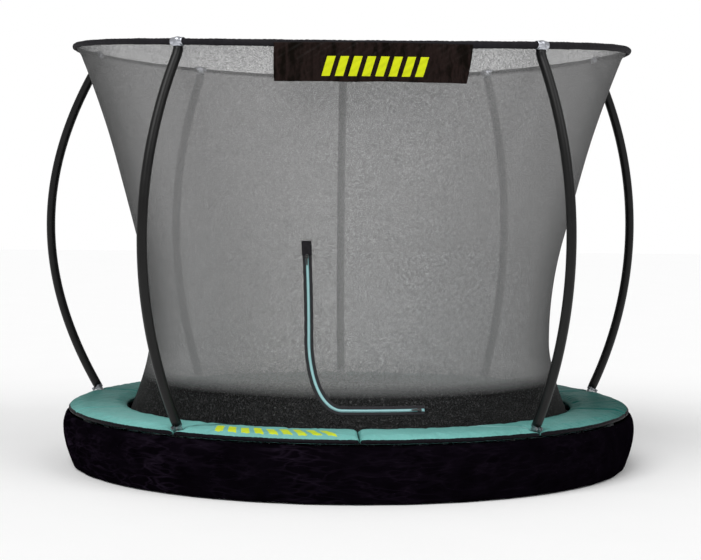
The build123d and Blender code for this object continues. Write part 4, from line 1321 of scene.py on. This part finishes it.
# ---------------------------------------------------------------- camera and light
def make_camera():
    """Eye-height view from in front, a touch to the left, looking slightly down."""
    away, height = 10.33, 1.532
    bearing, pitch = math.radians(-2.0), math.radians(3.03)
    data = bpy.data.cameras.new("Camera")
    data.sensor_width = 36.0
    data.lens = 97.1
    camera = bpy.data.objects.new("Camera", data)
    camera.location = (away * math.sin(bearing), AXIS_Y - away * math.cos(bearing), height)
    camera.rotation_euler = (math.pi / 2 - pitch, math.radians(-0.45), bearing)
    bpy.context.collection.objects.link(camera)
    bpy.context.scene.camera = camera


def make_stage():
    """Plain pale floor, white surroundings, and two wide soft lights."""
    world = bpy.data.worlds.new("World")
    bpy.context.scene.world = world
    world.use_nodes = True
    tree = world.node_tree
    seen = tree.nodes.new("ShaderNodeLightPath")
    strength = tree.nodes.new("ShaderNodeMapRange")
    strength.inputs["To Min"].default_value = 0.42
    strength.inputs["To Max"].default_value = 1.0
    tree.links.new(seen.outputs["Is Camera Ray"], strength.inputs["Value"])
    tree.links.new(strength.outputs["Result"], tree.nodes["Background"].inputs["Strength"])
    tree.nodes["Background"].inputs["Color"].default_value = (1, 1, 1, 1)
    floor_finish = Finish("pale floor", Roughness=0.9)
    floor_finish.feed("Base Color", floor_finish.mix(floor_finish.noise(2.0), grey(0.93), grey(0.95)))
    corners = np.array([(-30, -30, 0), (30, -30, 0), (30, 30, 0), (-30, 30, 0)], float)
    floor = piece("Floor", corners, np.array([[0, 1, 2, 3]]), floor_finish, None)
    stage = [floor]
    suns = (("Key", (-3.0, -5.0, 6.5), 2.0), ("Fill", (5.0, -4.0, 5.0), 0.9))
    for name, towards, strength in suns:
        data = bpy.data.lights.new(name, "SUN")
        data.energy = strength
        data.angle = math.radians(40)
        light = bpy.data.objects.new(name, data)
        light.location = towards
        light.rotation_euler = Vector(towards).to_track_quat("Z", "Y").to_euler()
        bpy.context.collection.objects.link(light)
    bpy.context.scene.view_settings.view_transform = "Standard"
    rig.stage(*stage)


# ---------------------------------------------------------------- build
make_camera()
make_stage()

zinc = zinc_finish()
dull = zinc_finish("dull zinc", 0.45)
steel = steel_finish()
rubber = rubber_finish()
webbing = webbing_finish()
moulded = moulded_finish()
teal = pad_finish()

carried = {
    "top_rails": steel, "leg_sockets": steel, "leg_uprights": steel, "leg_bases": steel,
    "foot_pads": rubber, "socket_screws": zinc,
    "pole_clamps": dull, "clamp_bolts": dull,
    "zip_slider_top": moulded, "zip_slider_side": moulded, "zip_pull_top": moulded, "zip_pull_side": moulded,
    "v_rings": zinc, "pad_straps": webbing,
}
for node, finish in carried.items():
    cad = frame["nodes"][node]
    cad.data.materials.clear()
    cad.data.materials.append(finish.material)

make_net(net_finish())
make_hem(webbing)
make_pole_sleeves(pole_finish())
make_pole_tubes(steel)
make_pole_caps(zinc)
make_ring_sleeve(webbing)
make_banner(banner_finish())
make_zip_tape(tape_finish())
make_top_patch(webbing)
make_zip_teeth(teeth_finish())
make_mat(mat_finish())
make_edge_band(webbing)
make_springs(zinc)
make_pad(teal)
make_skirt(skirt_finish())

low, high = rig.bounds()
as_lists = lambda corners: [list(map(float, corner)) for corner in corners]
sizes = {"cad": as_lists(CAD_BOX), "visual": as_lists((low, high))}
with open("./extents.json", "w") as out:
    json.dump(sizes, out)
